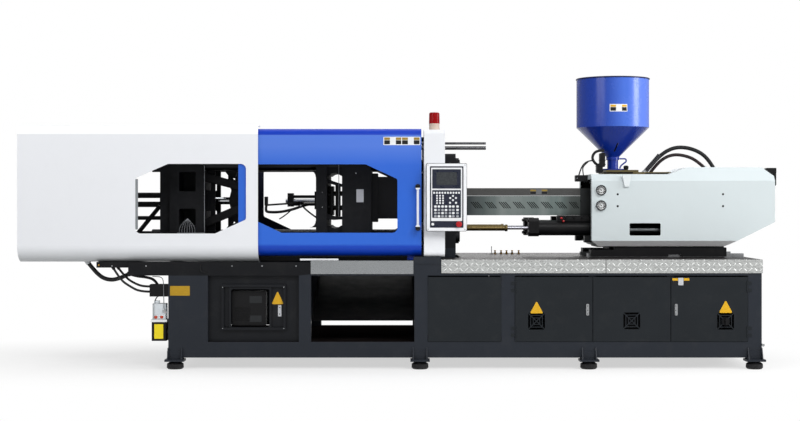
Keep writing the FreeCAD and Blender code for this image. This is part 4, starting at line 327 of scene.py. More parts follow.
def make_materials():
    # painted light and shade: the cover darker below 0.60 m, where its lower bend faces down, and
    # a painted highlight along the top above 1.342 m
    painted("cover_white", (206, 210, 212), 0.38, 0.008, dust=0.02, levels=(
        (0.60, 0.69, (228, 230, 234)), (1.336, 1.342, (250, 251, 253))))
    # painted light and shade: the column covers lighter at the foot below 0.62 m, darker above
    # 0.74 m
    painted("column_white", (242, 244, 247), 0.38, 0.008, dust=0.02,
            levels=((0.62, 0.74, (223, 225, 229)),))
    painted("cover_pale", (197, 206, 208), 0.38, 0.01, dust=0.02)
    # painted light: a lighter white for the injection cover's downward faces, which get little
    # light from below
    painted("cover_under_painted_light", (250, 252, 253), 0.5, 0.004, dust=0.01)
    painted("spout_white", (216, 222, 224), 0.38, 0.01, dust=0.02)
    # painted light and shade: the door darker on its lower bend, a painted highlight band at 0.70
    # m, lighter towards the top of its face, darker on the top bend
    painted("door_blue", (6, 58, 186), 0.36, 0.012, shine=0.3, levels=(
        (0.64, 0.695, (12, 66, 184)), (0.698, 0.712, (40, 99, 205)), (0.98, 1.16, (44, 98, 202)),
        (1.16, 1.27, (78, 118, 210)), (1.333, 1.337, (3, 54, 176))))
    # painted shade: near-black navy for the back door's inner faces, blue in fact, which lie in
    # deep shade
    painted("door_inside_painted_shade", (4, 6, 26), 0.5, 0.1, dust=0.02, shine=0.15)
    # painted shade: the hopper darker below 1.42 m, where its cone faces down, lighter above 1.44
    # m
    painted("hopper_blue", (12, 44, 140), 0.24, 0.015, coat=0.2, shine=0.3,
            levels=((1.42, 1.44, (24, 60, 160)),))
    # painted light: the hopper's cylinder lighter towards its right side, where light falls
    painted("bin_blue_painted_light", (18, 56, 156), 0.24, 0.012, coat=0.2, shine=0.3, across=(
        (1.16, 1.30, (66, 104, 200)), (1.32, 1.40, (92, 124, 222))))
    painted("rim_blue", (8, 22, 70), 0.4, 0.03, shine=0.25)
    painted("frame_dark", (35, 39, 46), 0.42, 0.06, dust=0.03, shine=0.18)
    # painted shade: the front of the beam under the cover, darker than the frame paint
    painted("beam_painted_shade", (18, 19, 22), 0.42, 0.06, dust=0.03, shine=0.14)
    painted("panel_dark", (27, 31, 35), 0.4, 0.06, dust=0.03, shine=0.18)
    painted("black_paint", (13, 13, 15), 0.42, 0.12, dust=0.04, shine=0.16)
    # painted shade: near black for inner faces that lie in deep shade
    painted("painted_shade_black", (6, 6, 7), 0.6, 0.15, dust=0.02, shine=0.1)
    painted("service_dark", (19, 21, 25), 0.44, 0.08, dust=0.04, shine=0.18)
    cast("platen", (20, 21, 24), shine=0.18)
    cast("rear_platen", (16, 17, 20), shine=0.16)
    cast("link", (10, 10, 12), 0.5, 0.15)
    brushed("steel", (168, 170, 172), 0.28, stretch=(1.0, 30.0, 30.0))
    brushed("dark_steel", (42, 43, 46), 0.34, 0.2, stretch=(1.0, 30.0, 30.0))
    brushed("chrome", (214, 217, 221), 0.1, 0.05, stretch=(30.0, 1.0, 1.0), scale=30.0)
    brushed("rod_chrome", (158, 158, 166), 0.16, 0.1)
    brushed("rod_steel", (104, 108, 110), 0.3, 0.15)
    brushed("bar_steel", (92, 92, 95), 0.3, 0.2)
    # painted shade: dark steel for the chrome tie bars, standing for their reflection of the dark
    # clamp space
    brushed("tie_bar_painted_shade", (38, 38, 40), 0.4, 0.2)
    brushed("sleeve_brass", (106, 92, 60), 0.3, 0.2)
    brushed("brass", (168, 128, 60))
    brushed("old_brass", (74, 60, 32), 0.4)
    brushed("mould_steel", (10, 10, 11), 0.5, 0.2, 0.3, (24.0, 1.0, 24.0))
    guard_steel()
    brushed("polished", (162, 165, 167), 0.26, stretch=(1.0, 26.0, 26.0))
    brushed("gilt", (98, 88, 60), 0.4, 0.15, 0.8, (1.0, 14.0, 14.0))
    painted("chute", (5, 5, 6), 0.55, 0.2, dust=0.03, shine=0.08)
    # painted shade: the base's floor plate under the deck, darker than the frame paint and without
    # shine
    painted("bay_floor_painted_shade", (24, 20, 20), 0.6, 0.2, dust=0.04, shine=0.0)
    tread_plate("tread", (160, 162, 161), (216, 218, 216), (234, 236, 234))
    # painted shade: a darker copy of the tread plate for its upward faces
    tread_plate("tread_top_painted_shade", (26, 21, 21), (66, 60, 60), (102, 96, 97))
    moulded("panel_grey", (192, 194, 198))
    moulded("panel_white", (232, 234, 237), 0.4, 0.02)
    moulded("key_grey", (158, 161, 166))
    moulded("cable_grey", (104, 106, 109))
    moulded("drive_grey", (38, 40, 42), shine=0.2)
    moulded("white_plastic", (226, 228, 230), 0.35)
    moulded("black_plastic", (12, 12, 14), 0.42, shine=0.2)
    moulded("label_black", (28, 28, 29), 0.5, shine=0.2)
    moulded("label_gold", (150, 124, 44), 0.45)
    moulded("overlay", (33, 37, 52), 0.3, 0.02, shine=0.25)
    moulded("dial", (206, 208, 208), 0.3)
    brushed("gauge_rim", (96, 98, 100), stretch=(20.0, 20.0, 20.0))
    moulded("red_plastic", (166, 8, 18), 0.28)
    moulded("beige_plastic", (196, 178, 163))
    moulded("yellow", (236, 214, 20))
    moulded("sign_yellow", (214, 164, 10), 0.36)
    brushed("plate_gold", (176, 138, 18), 0.45, 0.12, 0.3, (1.0, 10.0, 10.0))
    moulded("orange_red", (196, 70, 44))
    rubber("hose", (11, 11, 13), (40, 40, 42))
    rubber("hose_red", (26, 13, 15), (60, 34, 36))
    rubber("hose_guard", (46, 47, 50), (86, 88, 92))
    glowing("lens_red", (140, 4, 8), 0.1)
    moulded("rubber_black", (9, 9, 10), 0.6, shine=0.1)
    moulded("trim_grey", (128, 133, 136))
    moulded("handle_white", (226, 230, 238), 0.3, 0.01)
    glowing("screen", (60, 63, 66), 0.02)
    clear_tank()
    rubber("foot_rubber", (14, 14, 16), (44, 44, 48))
    painted("blue_motor", (30, 36, 46), 0.45, 0.1, dust=0.06, shine=0.2)


# ---- finishes of the CAD nodes
NODE_FINISH = {
    "frame_dark": "base_frame",
    "foot_rubber": "levelling_feet",
    "panel_dark": "front_panels back_panels left_cabinet_door right_cabinet_door",
    "tread": "deck_plates",
    "chute": "product_chute",
    "platen": "fixed_platen moving_platen injection_plate",
    "rear_platen": "rear_platen",
    # painted shade: the chrome tie bars get dark steel
    "tie_bar_painted_shade": "tie_bars",
    "bar_steel": "safety_bar",
    "link": "rear_link_upper rear_link_lower front_link_upper front_link_lower crosshead",
    "chrome": "piston_rod",
    "black_paint": "clamp_cylinder clamp_valves ejector_cylinder ejector_plate door_rails"
                   " shift_cylinders carriage_base injection_cylinders screw_motor",
    "mould_steel": "mould_fixed_half mould_moving_half",
    "cover_white": "clamp_cover_front clamp_cover_back",
    "door_blue": "front_door back_door",
    "black_plastic": "front_door_handle back_door_handle main_switch lube_unit",
    "column_white": "column_covers",
    "panel_white": "control_panel",
    "white_plastic": "keypad_overlay start_button",
    "red_plastic": "emergency_stop",
    "beige_plastic": "alarm_lamp",
    "steel": "left_door_latch right_door_latch barrel screw",
    "blue_motor": "hydraulic_pump",
    "service_dark": "electrical_plate",
    "rod_chrome": "carriage_guides",
    "guard_steel": "barrel_guard",
    "cover_pale": "injection_cover",
    "hopper_blue": "hopper hopper_gate",
    "gilt": "hopper_plates",
    "hose": "clamp_hoses lube_hoses arc_hoses",
}


def repaint(node, finish, test):
    """The faces of a CAD node whose centre (mm) and normal pass the test get another finish."""
    mesh = nodes[node].data
    index = len(mesh.materials)
    mesh.materials.append(M[finish])
    for polygon in mesh.polygons:
        if test(Vector(polygon.center) / MM, polygon.normal):
            polygon.material_index = index


def finish_nodes():
    for finish, names in NODE_FINISH.items():
        for name in names.split():
            mesh = nodes[name].data
            mesh.materials.clear()
            mesh.materials.append(M[finish])
            for polygon in mesh.polygons:
                polygon.material_index = 0
    grip_low, grip_high = low("front_door_handle").z + 20, high("front_door_handle").z - 20
    for node in ("front_door_handle", "back_door_handle"):
        repaint(node, "handle_white", lambda c, n: grip_low < c.z < grip_high)
        repaint(node, "label_black", lambda c, n: not grip_low - 8 < c.z < grip_high + 8)
    lens = low("alarm_lamp").z + 36.5
    repaint("alarm_lamp", "lens_red", lambda c, n: c.z > lens)
    guard_low, guard_high = low("barrel_guard"), high("barrel_guard")
    # painted shade: the guard's inner faces are painted near black
    repaint("barrel_guard", "painted_shade_black", lambda c, n: guard_low.y + 1 < c.y < guard_high.y - 1
            and guard_low.x + 1 < c.x and c.z < guard_high.z - 1)
    plates_end = 100            # end of the polished plates, start of the tread plates
    # painted shade: the upward faces of the tread plates get the darker copy
    repaint("deck_plates", "tread_top_painted_shade", lambda c, n: c.x > plates_end and n.z > 0.5)
    repaint("deck_plates", "polished", lambda c, n: c.x < plates_end)
    flange = low("lube_unit").z + 107
    flange_top, tank_top = flange + 16, flange + 126
    repaint("lube_unit", "white_plastic", lambda c, n: flange < c.z < flange_top)
    repaint("lube_unit", "clear_tank", lambda c, n: flange_top < c.z < tank_top)
    # painted shade: the inner faces of the back door and the back cover are painted near black
    for node, finish in (("back_door", "door_inside_painted_shade"), ("clamp_cover_back", "painted_shade_black")):
        repaint(node, finish, lambda c, n: n.y * (AXIS_Y + 240 - c.y) + n.z * (AXIS_Z - c.z) > 0)
    sleeve = high("fixed_platen").x + 300
    repaint("carriage_guides", "sleeve_brass", lambda c, n: c.x < sleeve and c.z > 700)
    repaint("carriage_guides", "steel", lambda c, n: c.z < 650)
    moving = low("moving_platen").x
    repaint("ejector_plate", "old_brass", lambda c, n: c.x > moving + 309)
    repaint("ejector_plate", "chrome", lambda c, n: c.x < moving + 205)
    repaint("injection_cylinders", "rod_steel", lambda c, n: c.z < 830 and abs(c.y - AXIS_Y) > 190)
    plug = high("injection_cover").x - 36.5
    repaint("injection_cover", "black_plastic", lambda c, n: c.x > plug)
    # painted shade: the inner faces at the back of the injection cover are painted near black
    repaint("injection_cover", "painted_shade_black", lambda c, n: c.y > 300 and n.y < -0.5)
    # painted light: the downward faces of the injection cover get the lighter white
    repaint("injection_cover", "cover_under_painted_light", lambda c, n: n.z < -0.3 and c.y < SHELL + 60)
    repaint("injection_cover", "spout_white", lambda c, n: c.y < SHELL - 0.5
            and HOPPER_X < c.x < HOPPER_X + 80)
    repaint("barrel", "dark_steel", lambda c, n: c.x > low("barrel").x + 260)
    repaint("door_rails", "steel", lambda c, n: c.z < 640 and n.z > 0.5)
    repaint("levelling_feet", "steel", lambda c, n: c.z > 42)
    lo, hi = low("control_panel"), high("control_panel")
    repaint("control_panel", "overlay", lambda c, n: PANEL + 1 < c.y < PANEL + 40
            and lo.x + 10 < c.x < hi.x - 10 and lo.z + 10 < c.z < hi.z - 10)
    repaint("front_panels", "service_dark", lambda c, n: c.x < -620)
    # painted shade: the beam's front under the cover gets the darker frame paint
    repaint("base_frame", "beam_painted_shade", lambda c, n: c.x < low("product_chute").x and c.z > 530)
    # painted shade: the floor plate inside the base gets the darker paint
    repaint("base_frame", "bay_floor_painted_shade", lambda c, n: n.z > 0.9 and 140 < c.z < 160)
    # painted light: the side faces of the hopper's cylinder get the blue that lightens to the
    # right
    repaint("hopper", "bin_blue_painted_light", lambda c, n: c.z > BIN and abs(n.z) < 0.3)
    repaint("hopper", "rim_blue", lambda c, n: c.z > high("hopper").z - 9)


# ---- mesh helpers
class Piece:
    """One mesh piece made of simple bodies, given in millimetres."""

    def __init__(self):
        self.bm = bmesh.new()

    def box(self, lo, hi):
        lo, hi = Vector(lo) * MM, Vector(hi) * MM
        size = Matrix.Diagonal((*(hi - lo), 1))
        bmesh.ops.create_cube(self.bm, size=1, matrix=Matrix.Translation((lo + hi) / 2) @ size)
        return self

    def skin(self, loops, closed=False):
        """Walls from each loop of points to the next, with flat ends unless the last loop meets
        the first."""
        loops = [[self.bm.verts.new(Vector(p) * MM) for p in loop] for loop in loops]
        for a, b in zip(loops, loops[1:] + loops[:1] if closed else loops[1:]):
            for i in range(len(a)):
                j = (i + 1) % len(a)
                self.bm.faces.new((a[i], a[j], b[j], b[i]))
        if not closed:
            self.bm.faces.new(list(reversed(loops[0])))
            self.bm.faces.new(loops[-1])
        return self

    def lathe(self, profile, base, axis, steps=24, hollow=False):
        """Turned body from (distance along the axis, radius) points, or a hollow ring whose
        section they go round."""
        turn = Vector(UP).rotation_difference(Vector(axis).normalized()).to_matrix()
        angles = [2 * math.pi * i / steps for i in range(steps)]
        return self.skin([[turn @ Vector((radius * math.cos(a), radius * math.sin(a), along))
            + Vector(base) for a in angles] for along, radius in profile], hollow)

    def plate(self, outline, y0, y1):
        """Flat piece parallel to the front, from an outline of (x, z) points."""
        return self.skin([[(x, y, z) for x, z in outline] for y in (y1, y0)])

    def tile(self, px0, py0, px1, py1, y, front, back, corner):
        """Plate with round corners over a patch of the picture that lies in the plane at y."""
        a, b = at(px0, py1, y), at(px1, py0, y)
        return self.plate(rounded(a.x, b.x, a.z, b.z, corner), front, back)

    def ring(self, outer, inner, y0, y1):
        """Flat frame parallel to the front, between two outlines with equally many points."""
        return self.skin([[(x, y, z) for x, z in outline] for outline, y in (
            (outer, y0), (inner, y0), (inner, y1), (outer, y1))], closed=True)

    def make(self, name, finish, body, bevel=0.6, segments=2):
        bmesh.ops.recalc_face_normals(self.bm, faces=self.bm.faces)
        mesh = bpy.data.meshes.new(name)
        self.bm.to_mesh(mesh)
        self.bm.free()
        piece = placed(name, mesh)
        mesh.materials.append(M[finish])
        for polygon in mesh.polygons:
            polygon.use_smooth = True
        mesh.set_sharp_from_angle(angle=math.radians(35))
        if bevel:
            soft = piece.modifiers.new("bevel", "BEVEL")
            soft.width = bevel * MM
            soft.segments = segments
            soft.limit_method = "ANGLE"
            soft.angle_limit = math.radians(40)
        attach(piece, body)


def wire(name, points, radius, finish, body, resolution=6):
    """Round wire or hose through control points in millimetres."""
    curve = bpy.data.curves.new(name, "CURVE")
    curve.dimensions = "3D"
    curve.bevel_depth = radius * MM
    curve.bevel_resolution = 4
    curve.resolution_u = resolution
    curve.use_fill_caps = True
    spline = curve.splines.new("NURBS")
    spline.points.add(len(points) - 1)
    for target, point in zip(spline.points, points):
        target.co = (*(Vector(point) * MM), 1.0)
    spline.order_u = 3
    spline.use_endpoint_u = True
    piece = placed(name, curve)
    curve.materials.append(M[finish])
    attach(piece, body)
    return piece


def pierced(name, outlines, y0, y1, finish, body):
    """Sheet parallel to the front: the first outline of (x, z) points, holed by the others."""
    curve = bpy.data.curves.new(name, "CURVE")
    curve.dimensions = "2D"
    curve.fill_mode = "BOTH"
    curve.extrude = (y1 - y0) / 2 * MM
    for outline in outlines:
        spline = curve.splines.new("POLY")
        spline.points.add(len(outline) - 1)
        for target, (x, z) in zip(spline.points, outline):
            target.co = (x * MM, z * MM, 0, 1)
        spline.use_cyclic_u = True
    flat = bpy.data.objects.new(name, curve)
    mesh = bpy.data.meshes.new_from_object(flat)
    bpy.data.objects.remove(flat)
    mesh.transform(Matrix.Translation((0, (y0 + y1) / 2 * MM, 0)) @ Matrix.Rotation(
        math.pi / 2, 4, "X"))
    mesh.name = name
    mesh.materials.clear()
    mesh.materials.append(M[finish])
    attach(placed(name, mesh), body)


def rounded(x0, x1, z0, z1, r, steps=4):
    """Outline of a rectangle with round corners."""
    points = []
    for cx, cz, start in ((x1 - r, z1 - r, 0), (x0 + r, z1 - r, 90), (x0 + r, z0 + r, 180),
            (x1 - r, z0 + r, 270)):
        for i in range(steps + 1):
            a = math.radians(start + 90 * i / steps)
            points.append((cx + r * math.cos(a), cz + r * math.sin(a)))
    return points


# ---- hoses
BEAM_Y, LUBE_Y, RETURN_Y, GREASE_Y, ARC_Y = -431, -476, -504, -464, 199
HOSES = {       # plane, (x, z) points, radius, length, finish, body and the node it stands for
    "beam_hose": (BEAM_Y, [(-1832, 596), (-1786, 536), (-1730, 502), (-1664, 504), (-1604, 534)],
        12, 271, "hose", BASE, "clamp_hoses"),
    "lube_hose": (LUBE_Y, [(-1648, 566), (-1608, 514), (-1556, 482), (-1510, 466), (-1465, 466)],
        6.5, 219, "hose", BASE, "lube_hoses"),
    "return_hose": (RETURN_Y, [(-1672, 566), (-1634, 504), (-1584, 470), (-1526, 438),
        (-1465, 438)], 6.5, 258, "hose", BASE, "lube_hoses"),
    "grease_hose": (GREASE_Y, [(-1428, 409), (-1444, 396), (-1444, 370)],
        3, 45, "hose_red", BASE, "lube_hoses"),
    "upper_arc_hose": (ARC_Y, [(1474, 1120), (1545, 1202), (1612, 1264), (1682, 1294),
        (1762, 1290), (1838, 1260), (1888, 1213), (1916, 1166)],
        12, 557, "hose", CARRIAGE, "arc_hoses"),
    "lower_arc_hose": (ARC_Y, [(1512, 1120), (1562, 1187), (1618, 1232), (1676, 1249),
        (1744, 1240), (1808, 1214), (1858, 1168)], 10, 419, "hose_red", CARRIAGE, "arc_hoses"),
}


def make_hoses():
    for name, (y, points, radius, length, finish, body, node) in HOSES.items():
        route = [Vector((x, y, z)) for x, z in points]
        piece = wire(name, route, radius, finish, body, 12)
        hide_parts(node)


# ---- fittings by picture place
def patch(name, finish, body, px0, py0, px1, py1, y, depth=0.8, corner=1.5):
    """Thin plate with round corners over a patch of the picture, its front face at y."""
    Piece().tile(px0, py0, px1, py1, y, y, y + depth, corner).make(name, finish, body, 0.2, 1)


def heads(name, finish, body, places, y, radius, height):
    """Domed heads, in one piece, whose flat sides lie in the plane at y."""
    piece = Piece()
    profile = [(-0.2, radius), (height * 0.5, radius), (height * 0.85, radius * 0.8),
        (height, radius * 0.4)]
    for px, py in places:
        piece.lathe(profile, at(px, py, y), OUTWARD, 16)
    piece.make(name, finish, body, 0)


def keys(name, finish, spots, half_x, half_z):
    """Raised keys on the keypad."""
    piece = Piece()
    front = PANEL - 0.8
    for px, py in spots:
        c = at(px, py, PANEL)
        outline = rounded(c.x - half_x, c.x + half_x, c.z - half_z, c.z + half_z,
            min(half_x, half_z) * 0.7, 3)
        piece.plate(outline, front, front + 1.4)
    piece.make(name, finish, BASE, 0.25, 1)


def panel_details():
    bezel = PANEL + 1
    a, b = at(432.2, 188.6, bezel), at(460.9, 169.2, bezel)
    lcd = (173, 289, 1048, 1120)
    Piece().ring(rounded(a.x, b.x, a.z, b.z, 4), rounded(*lcd, 3), bezel - 0.6, bezel).make(
        "screen_surround", "overlay", BASE, 0.2, 1)
    Piece().plate(rounded(lcd[0] - 2, lcd[1] + 2, lcd[2] - 2, lcd[3] + 2, 5), bezel + 0.2,
        bezel + 1.2).make("screen_glass", "screen", BASE, 0.2)
    lo, hi = low("control_panel"), high("control_panel")
    # painted shade: a dark ring just larger than the panel, behind it, for the shade at its edge
    Piece().ring(rounded(lo.x - 3, hi.x + 3, lo.z - 3, hi.z + 3, 9),
        rounded(lo.x + 2, hi.x - 2, lo.z + 2, hi.z - 2, 5), PANEL + 22, PANEL + 27).make(
        "panel_edge_painted_shade", "rubber_black", BASE, 0.5)
    patch("keypad_sheet", "overlay", BASE, 432.2, 190.1, 460.9, 217.9, bezel - 0.6, 0.6, 4)
    keys("function_keys", "white_plastic", [(434.1 + 2.767 * i, 192.8) for i in range(10)],
         5.4, 5.6)
    keys("number_keys", "white_plastic", [(x, y) for x in (437, 440, 443)
        for y in (195.7, 198.2, 200.6, 203.1)], 4.8, 5.2)
    keys("arrow_keys", "white_plastic", [(453, 195.9), (453, 200.1), (450.2, 198), (455.9, 198),
        (450, 202.8), (456, 202.8)], 5.6, 5.6)
    grid = [(x, y) for y in (206.5, 210, 213.1, 216.3)
            for x in (435.4, 438.9, 442.5, 446, 450, 453.3, 457.5)]
    keys("letter_keys", "white_plastic", grid[:7] + grid[7::3], 7.2, 6.2)
    keys("setting_keys", "key_grey", [g for g in grid[7:] if g not in grid[7::3]], 7.2, 6.2)
    screws = [(428, 165), (465, 165), (428, 229.4), (465, 229.4)]
    heads("panel_screws", "steel", BASE, screws, PANEL, 3, 1.6)


def sticker(name, body, px0, py0, px1, py1, y, blocks, under, top="sign_yellow"):
    """Bare label: a strip with plain blocks, each with a coloured upper third."""
    if under:
        patch(name, under, body, px0, py0, px1, py1, y, 0.8, 4)
    height = py1 - py0
    for i, (left, right) in enumerate(blocks):
        patch(f"{name}_block_{i}", "label_black", body, left, py0 + height * 0.42, right,
              py1 - height * 0.1, y - 0.4, 0.6, 2)
        patch(f"{name}_cap_{i}", top, body, left, py0 + height * 0.08, right,
              py0 + height * 0.38, y - 0.4, 0.6, 2)


def triangle(name, body, px, top, bottom, half, y):
    """Bare three-cornered sign."""
    a, b = at(px - half, bottom, y), at(px + half, top, y)
    middle = (a.x + b.x) / 2
    outline = [(a.x + 4, a.z), (b.x - 4, a.z), (b.x, a.z + 3), (b.x - 1, a.z + 8),
        (middle + 4, b.z - 2), (middle, b.z), (middle - 4, b.z - 2), (a.x + 1, a.z + 8),
        (a.x, a.z + 3)]
    Piece().plate(outline, y, y + 0.8).make(name, "sign_yellow", body, 0.2, 1)


def clamp_details():
    sticker("door_label", "front_door_body", 383.3, 136.8, 420.3, 145.1, DOOR - 0.8,
        [(384.2, 389.9), (395.8, 401.2), (402, 407.9), (413.8, 419.5)], "white_plastic",
        "label_gold")
    front = low("rear_platen").y
    # painted highlight: a light grey strip down the rear platen's edge
    edge = at(204.4, 203, front - 1.4)
    Piece().box((edge.x - 1.2, front - 1.4, 778), (edge.x + 1.2, front, 1166)).make(
        "platen_edge_painted_highlight", "key_grey", BASE, 0.3)
    for i in range(7):
        bottom = at(179.3 + 2.6 * i, 232.6, front - 8)
        top = at(187.6, 218.6, front - 5)
        belly = Vector((bottom.x + (bottom.x - top.x) * 0.12, front - 12, (bottom.z + top.z) / 2))
        wire(f"sensor_wire_{i}", [top, belly, bottom], 0.8, "key_grey", BASE, 4)
    wire("sensor_rail", trace(front, (177, 233.1, -6), (190, 233.2, -7), (205, 233, -6)), 1.5,
        "key_grey", BASE, 4)
    moving = "moving_platen_body"
    y = low("moving_platen").y
    wire("platen_cable", trace(y, (338.7, 164.6, -8), (339, 190, -10), (338.6, 216.6, -8)), 1.9,
        "cable_grey", moving, 6)
    heads("platen_screw", "steel", moving, [(355.9, 173.2)], y, 4.5, 3)
    heads("wall_pins", "steel", moving, [(322.2, 192.3), (322.2, 207.3)], y, 2.6, 3)
    heads("wall_screw", "dark_steel", moving, [(323.5, 200)], y, 3, 2)
    rear = y + 46
    for name, corners in (
            ("upper", ((322, 176.6), (334, 181.4), (343.4, 184.4), (343.4, 187.4), (333, 184.6),
                       (322, 181))),
            ("lower", ((322, 219), (334, 220), (343.4, 219.4), (343.4, 216.6), (334, 216),
                       (322, 211.6)))):
        Piece().plate([(c.x, c.z) for c in trace(rear, *corners)], rear, rear + 14).make(
            f"ejector_brace_{name}", "platen", moving, 2)
    boss, middle = Piece(), -120
    for px0, px1, reach in ((330.4, 333.4, 84), (335.4, 340.6, 96)):
        c, d = at(px0, 200, middle), at(px1, 200, middle)
        boss.plate(rounded(c.x, d.x, AXIS_Z - reach, AXIS_Z + reach, 6), middle - 12, middle + 20)
    tip, wall = at(326, 200, middle).x, at(344.4, 200, middle).x
    for z in (AXIS_Z - 44, AXIS_Z + 28):
        boss.box((tip, middle - 8, z), (wall, middle + 16, z + 16))
    boss.make("ejector_boss", "black_paint", moving, 2)
    patch("platen_plate", "panel_grey", moving, 356.4, 189.3, 363.6, 202.2, y - 0.8, 0.8, 2)
    near = low("rear_link_lower").y - 24
    Piece().tile(264.6, 196.6, 268, 205.6, near, near - 14, near + 14, 3).make(
        "oil_block", "black_paint", moving, 1)
    cylinder = low("ejector_cylinder").y
    wire("oil_pipe_upper", trace(near, (267.5, 205), (278, 204.3), (288, 203.6), (296, 203.2, 14))
        + trace(cylinder, (301, 203.2, -50), (303, 203.4)), 5.5, "hose", moving, 8)
    wire("oil_pipe_lower", trace(near, (266.5, 204.5), (265.4, 210.5), (268, 212.2), (280, 212.2),
        (293, 209.4), (301, 206.4, 26)) + trace(cylinder, (306.5, 205, -40), (309, 204.4, 4)), 8,
        "hose", moving, 8)
    wire("drain_pipe_left", trace(near, (279.3, 219, -3), (285, 215.8, -3), (290.5, 210.7)), 3.6,
        "hose", moving)
    wire("drain_pipe_right", trace(near, (303, 206.4, 40), (306.5, 211, 55), (318, 218.6, 70)), 5,
        "hose", moving)
    heads("pipe_union", "steel", moving, [(300.6, 205.6)], near + 18, 6, 5)
    y = low("rear_platen").y + 76
    for name, corners in (("upper", ((204.6, 172.6), (204.6, 181.4), (240, 190.6), (240, 182.4))),
                          ("lower", ((204.6, 219), (204.6, 227.6), (240, 213), (240, 204)))):
        Piece().plate([(c.x, c.z) for c in trace(y, *corners)], y, y + 18).make(
            f"toggle_guard_{name}", "link", BASE, 3)
    rail = at(238, 190, y)
    Piece().box((rail.x, y + 2, at(238, 213, y).z), (rail.x + 26, y + 16, at(238, 182, y).z)).make(
        "toggle_guard_post", "link", BASE, 3)
    y = low("moving_platen").y
    left = at(315.6, 170, y).x
    for name, z, way in (("upper", at(300, 170.6, y).z, -1), ("lower", at(300, 227.4, y).z, 1)):
        outline = [(left + 2, z), (left + 2, z + way * 40)]
        for i in range(7):
            a = math.radians(15 * i)
            outline.append((left - 36 * (1 - math.cos(a)), z + way * (38 - 38 * math.sin(a))))
        Piece().plate(outline, y, y + 60).make(f"wall_gusset_{name}", "platen", moving, 1)
    patch("window_trim", "trim_grey", BASE, 135.3, 179, 137.9, 229.6, FRONT + 4, 2, 3)


def base_details():
    face = FRONT + 5
    patch("name_plate", "plate_gold", BASE, 170, 286, 189.7, 295.6, face - 1, 1, 2)
    heads("name_plate_rivets", "brass", BASE,
          [(170.8, 286.9), (188.9, 286.9), (170.8, 294.7), (188.9, 294.7)], face - 1, 1.8, 1)
    wire("hook_cable", trace(face, (200.6, 264.2, -4), (200, 269, -5), (202, 272.6, -5),
        (206.6, 272.2, -4)), 2.6, "hose", BASE)
    heads("beam_plug", "brass", BASE, [(98.9, 265.2)], face, 5, 8)
    heads("beam_screws", "steel", BASE,
          [(112, 266), (146, 266), (232, 266), (262, 266), (296, 266)], face, 3.5, 2)
    panel = FRONT + 18
    heads("service_screws", "steel", BASE,
          [(222.6, 287.2), (283.8, 287.2), (222.6, 328.4), (283.8, 328.4)], panel, 2.6, 1.6)
    triangle("service_sign", BASE, 277.6, 292, 304.2, 5.7, FRONT + 36.2)
    patch("service_latch", "panel_grey", BASE, 278, 305.2, 281.4, 316.4, FRONT + 35, 2, 3)
    heads("service_latch_screws", "label_black", BASE, [(279.7, 307.6), (279.7, 314)],
          FRONT + 35, 3.2, 1)
    drive = FRONT + 62
    a, b = at(232, 325.6, drive), at(266, 291, drive)
    box_piece = Piece().plate(rounded(a.x, b.x, a.z, b.z, 6), drive, drive + 60)
    for i in range(9):
        rib = a.z + 30 + i * 9
        box_piece.box((a.x + 16, drive - 3, rib), (b.x - 90, drive + 1, rib + 4))
    box_piece.make("motor_drive", "black_plastic", BASE, 1)
    patch("drive_keypad", "drive_grey", BASE, 249.5, 296, 262, 303, drive - 1.4, 1.5, 3)
    patch("drive_label", "drive_grey", BASE, 249.5, 315.5, 261.5, 322, drive - 1, 1, 2)
    lube = low("lube_unit").y
    patch("lube_front", "yellow", BASE, 154.2, 324.2, 163.2, 338.8, lube + 3.2, 0.9, 3)
    for i, px in enumerate((155.7, 161.6)):
        c = at(px, 317.2, lube + 5)
        Piece().lathe([(0, 8), (5, 9.5), (12, 9.5), (15, 6)], (c.x, lube + 10, c.z - 7),
            UP, 20).make(f"lube_cap_{i}", "orange_red", BASE, 0)
    gauge = at(164.4, 311, lube + 4)
    Piece().lathe([(0, 7), (5, 11), (8, 11), (8.5, 9), (7, 8.4), (7, 0.5)],
        (gauge.x, lube + 8, gauge.z), OUTWARD).make("lube_gauge", "steel", BASE, 0)
    wire("lube_pipe", trace(lube, (164, 309.5, 3), (163.6, 290, 3), (163.4, 280, 3),
        (161, 276.9, 4), (156, 276.6, 4), (152.4, 276.3, 6)), 2.4, "cable_grey", BASE)
    wire("beam_pipe", trace(0, (128, 273.6, -455), (136, 276.2, -458), (146, 277, -462),
        (155, 279.6, -466), (158, 285.4, -470)), 8, "hose", BASE, 10)
    patch("floor_gap_strip", "white_plastic", BASE, 300, 258.6, 338.4, 260.4, FRONT + 3, 2, 2)
    # painted shade: a dark sheet behind the middle grille, for the shaded inside of the base
    Piece().tile(621, 311, 643, 332, FRONT + 50, FRONT + 48, FRONT + 51, 4).make(
        "vent_painted_shade", "rubber_black", BASE, 0.5)
    bolt = at(762.6, 344.9, face)
    Piece().lathe([(-1, 8), (2, 8), (2, 5), (9, 5), (9, 8.5), (15, 8.5), (16, 6)], bolt,
        OUTWARD).make("end_bolt", "steel", BASE, 0)


def cabinet_details():
    face = FRONT + 2
    triangle("left_sign", "left_cabinet", 536.6, 301.9, 313.4, 6.1, face - 0.8)
    triangle("right_sign", "right_cabinet", 725.7, 301, 312.9, 6.3, face - 0.8)
    sticker("cabinet_label", "right_cabinet", 672.2, 277.6, 689.4, 285.6, face - 0.9,
            [(672.4, 678), (683.7, 689.3)], None)
    patch("cabinet_label_middle", "panel_grey", "right_cabinet", 678.3, 277.9, 683.4, 285.2,
          face - 0.9, 0.8, 1.5)
    for side, px in (("left", 587.7), ("right", 675.7)):
        front = low(f"{side}_door_latch").y
        heads(f"{side}_latch_marks", "label_black", f"{side}_latch",
              [(px, 306), (px, 310.4), (px, 314)], front, 2.6, 0.6)


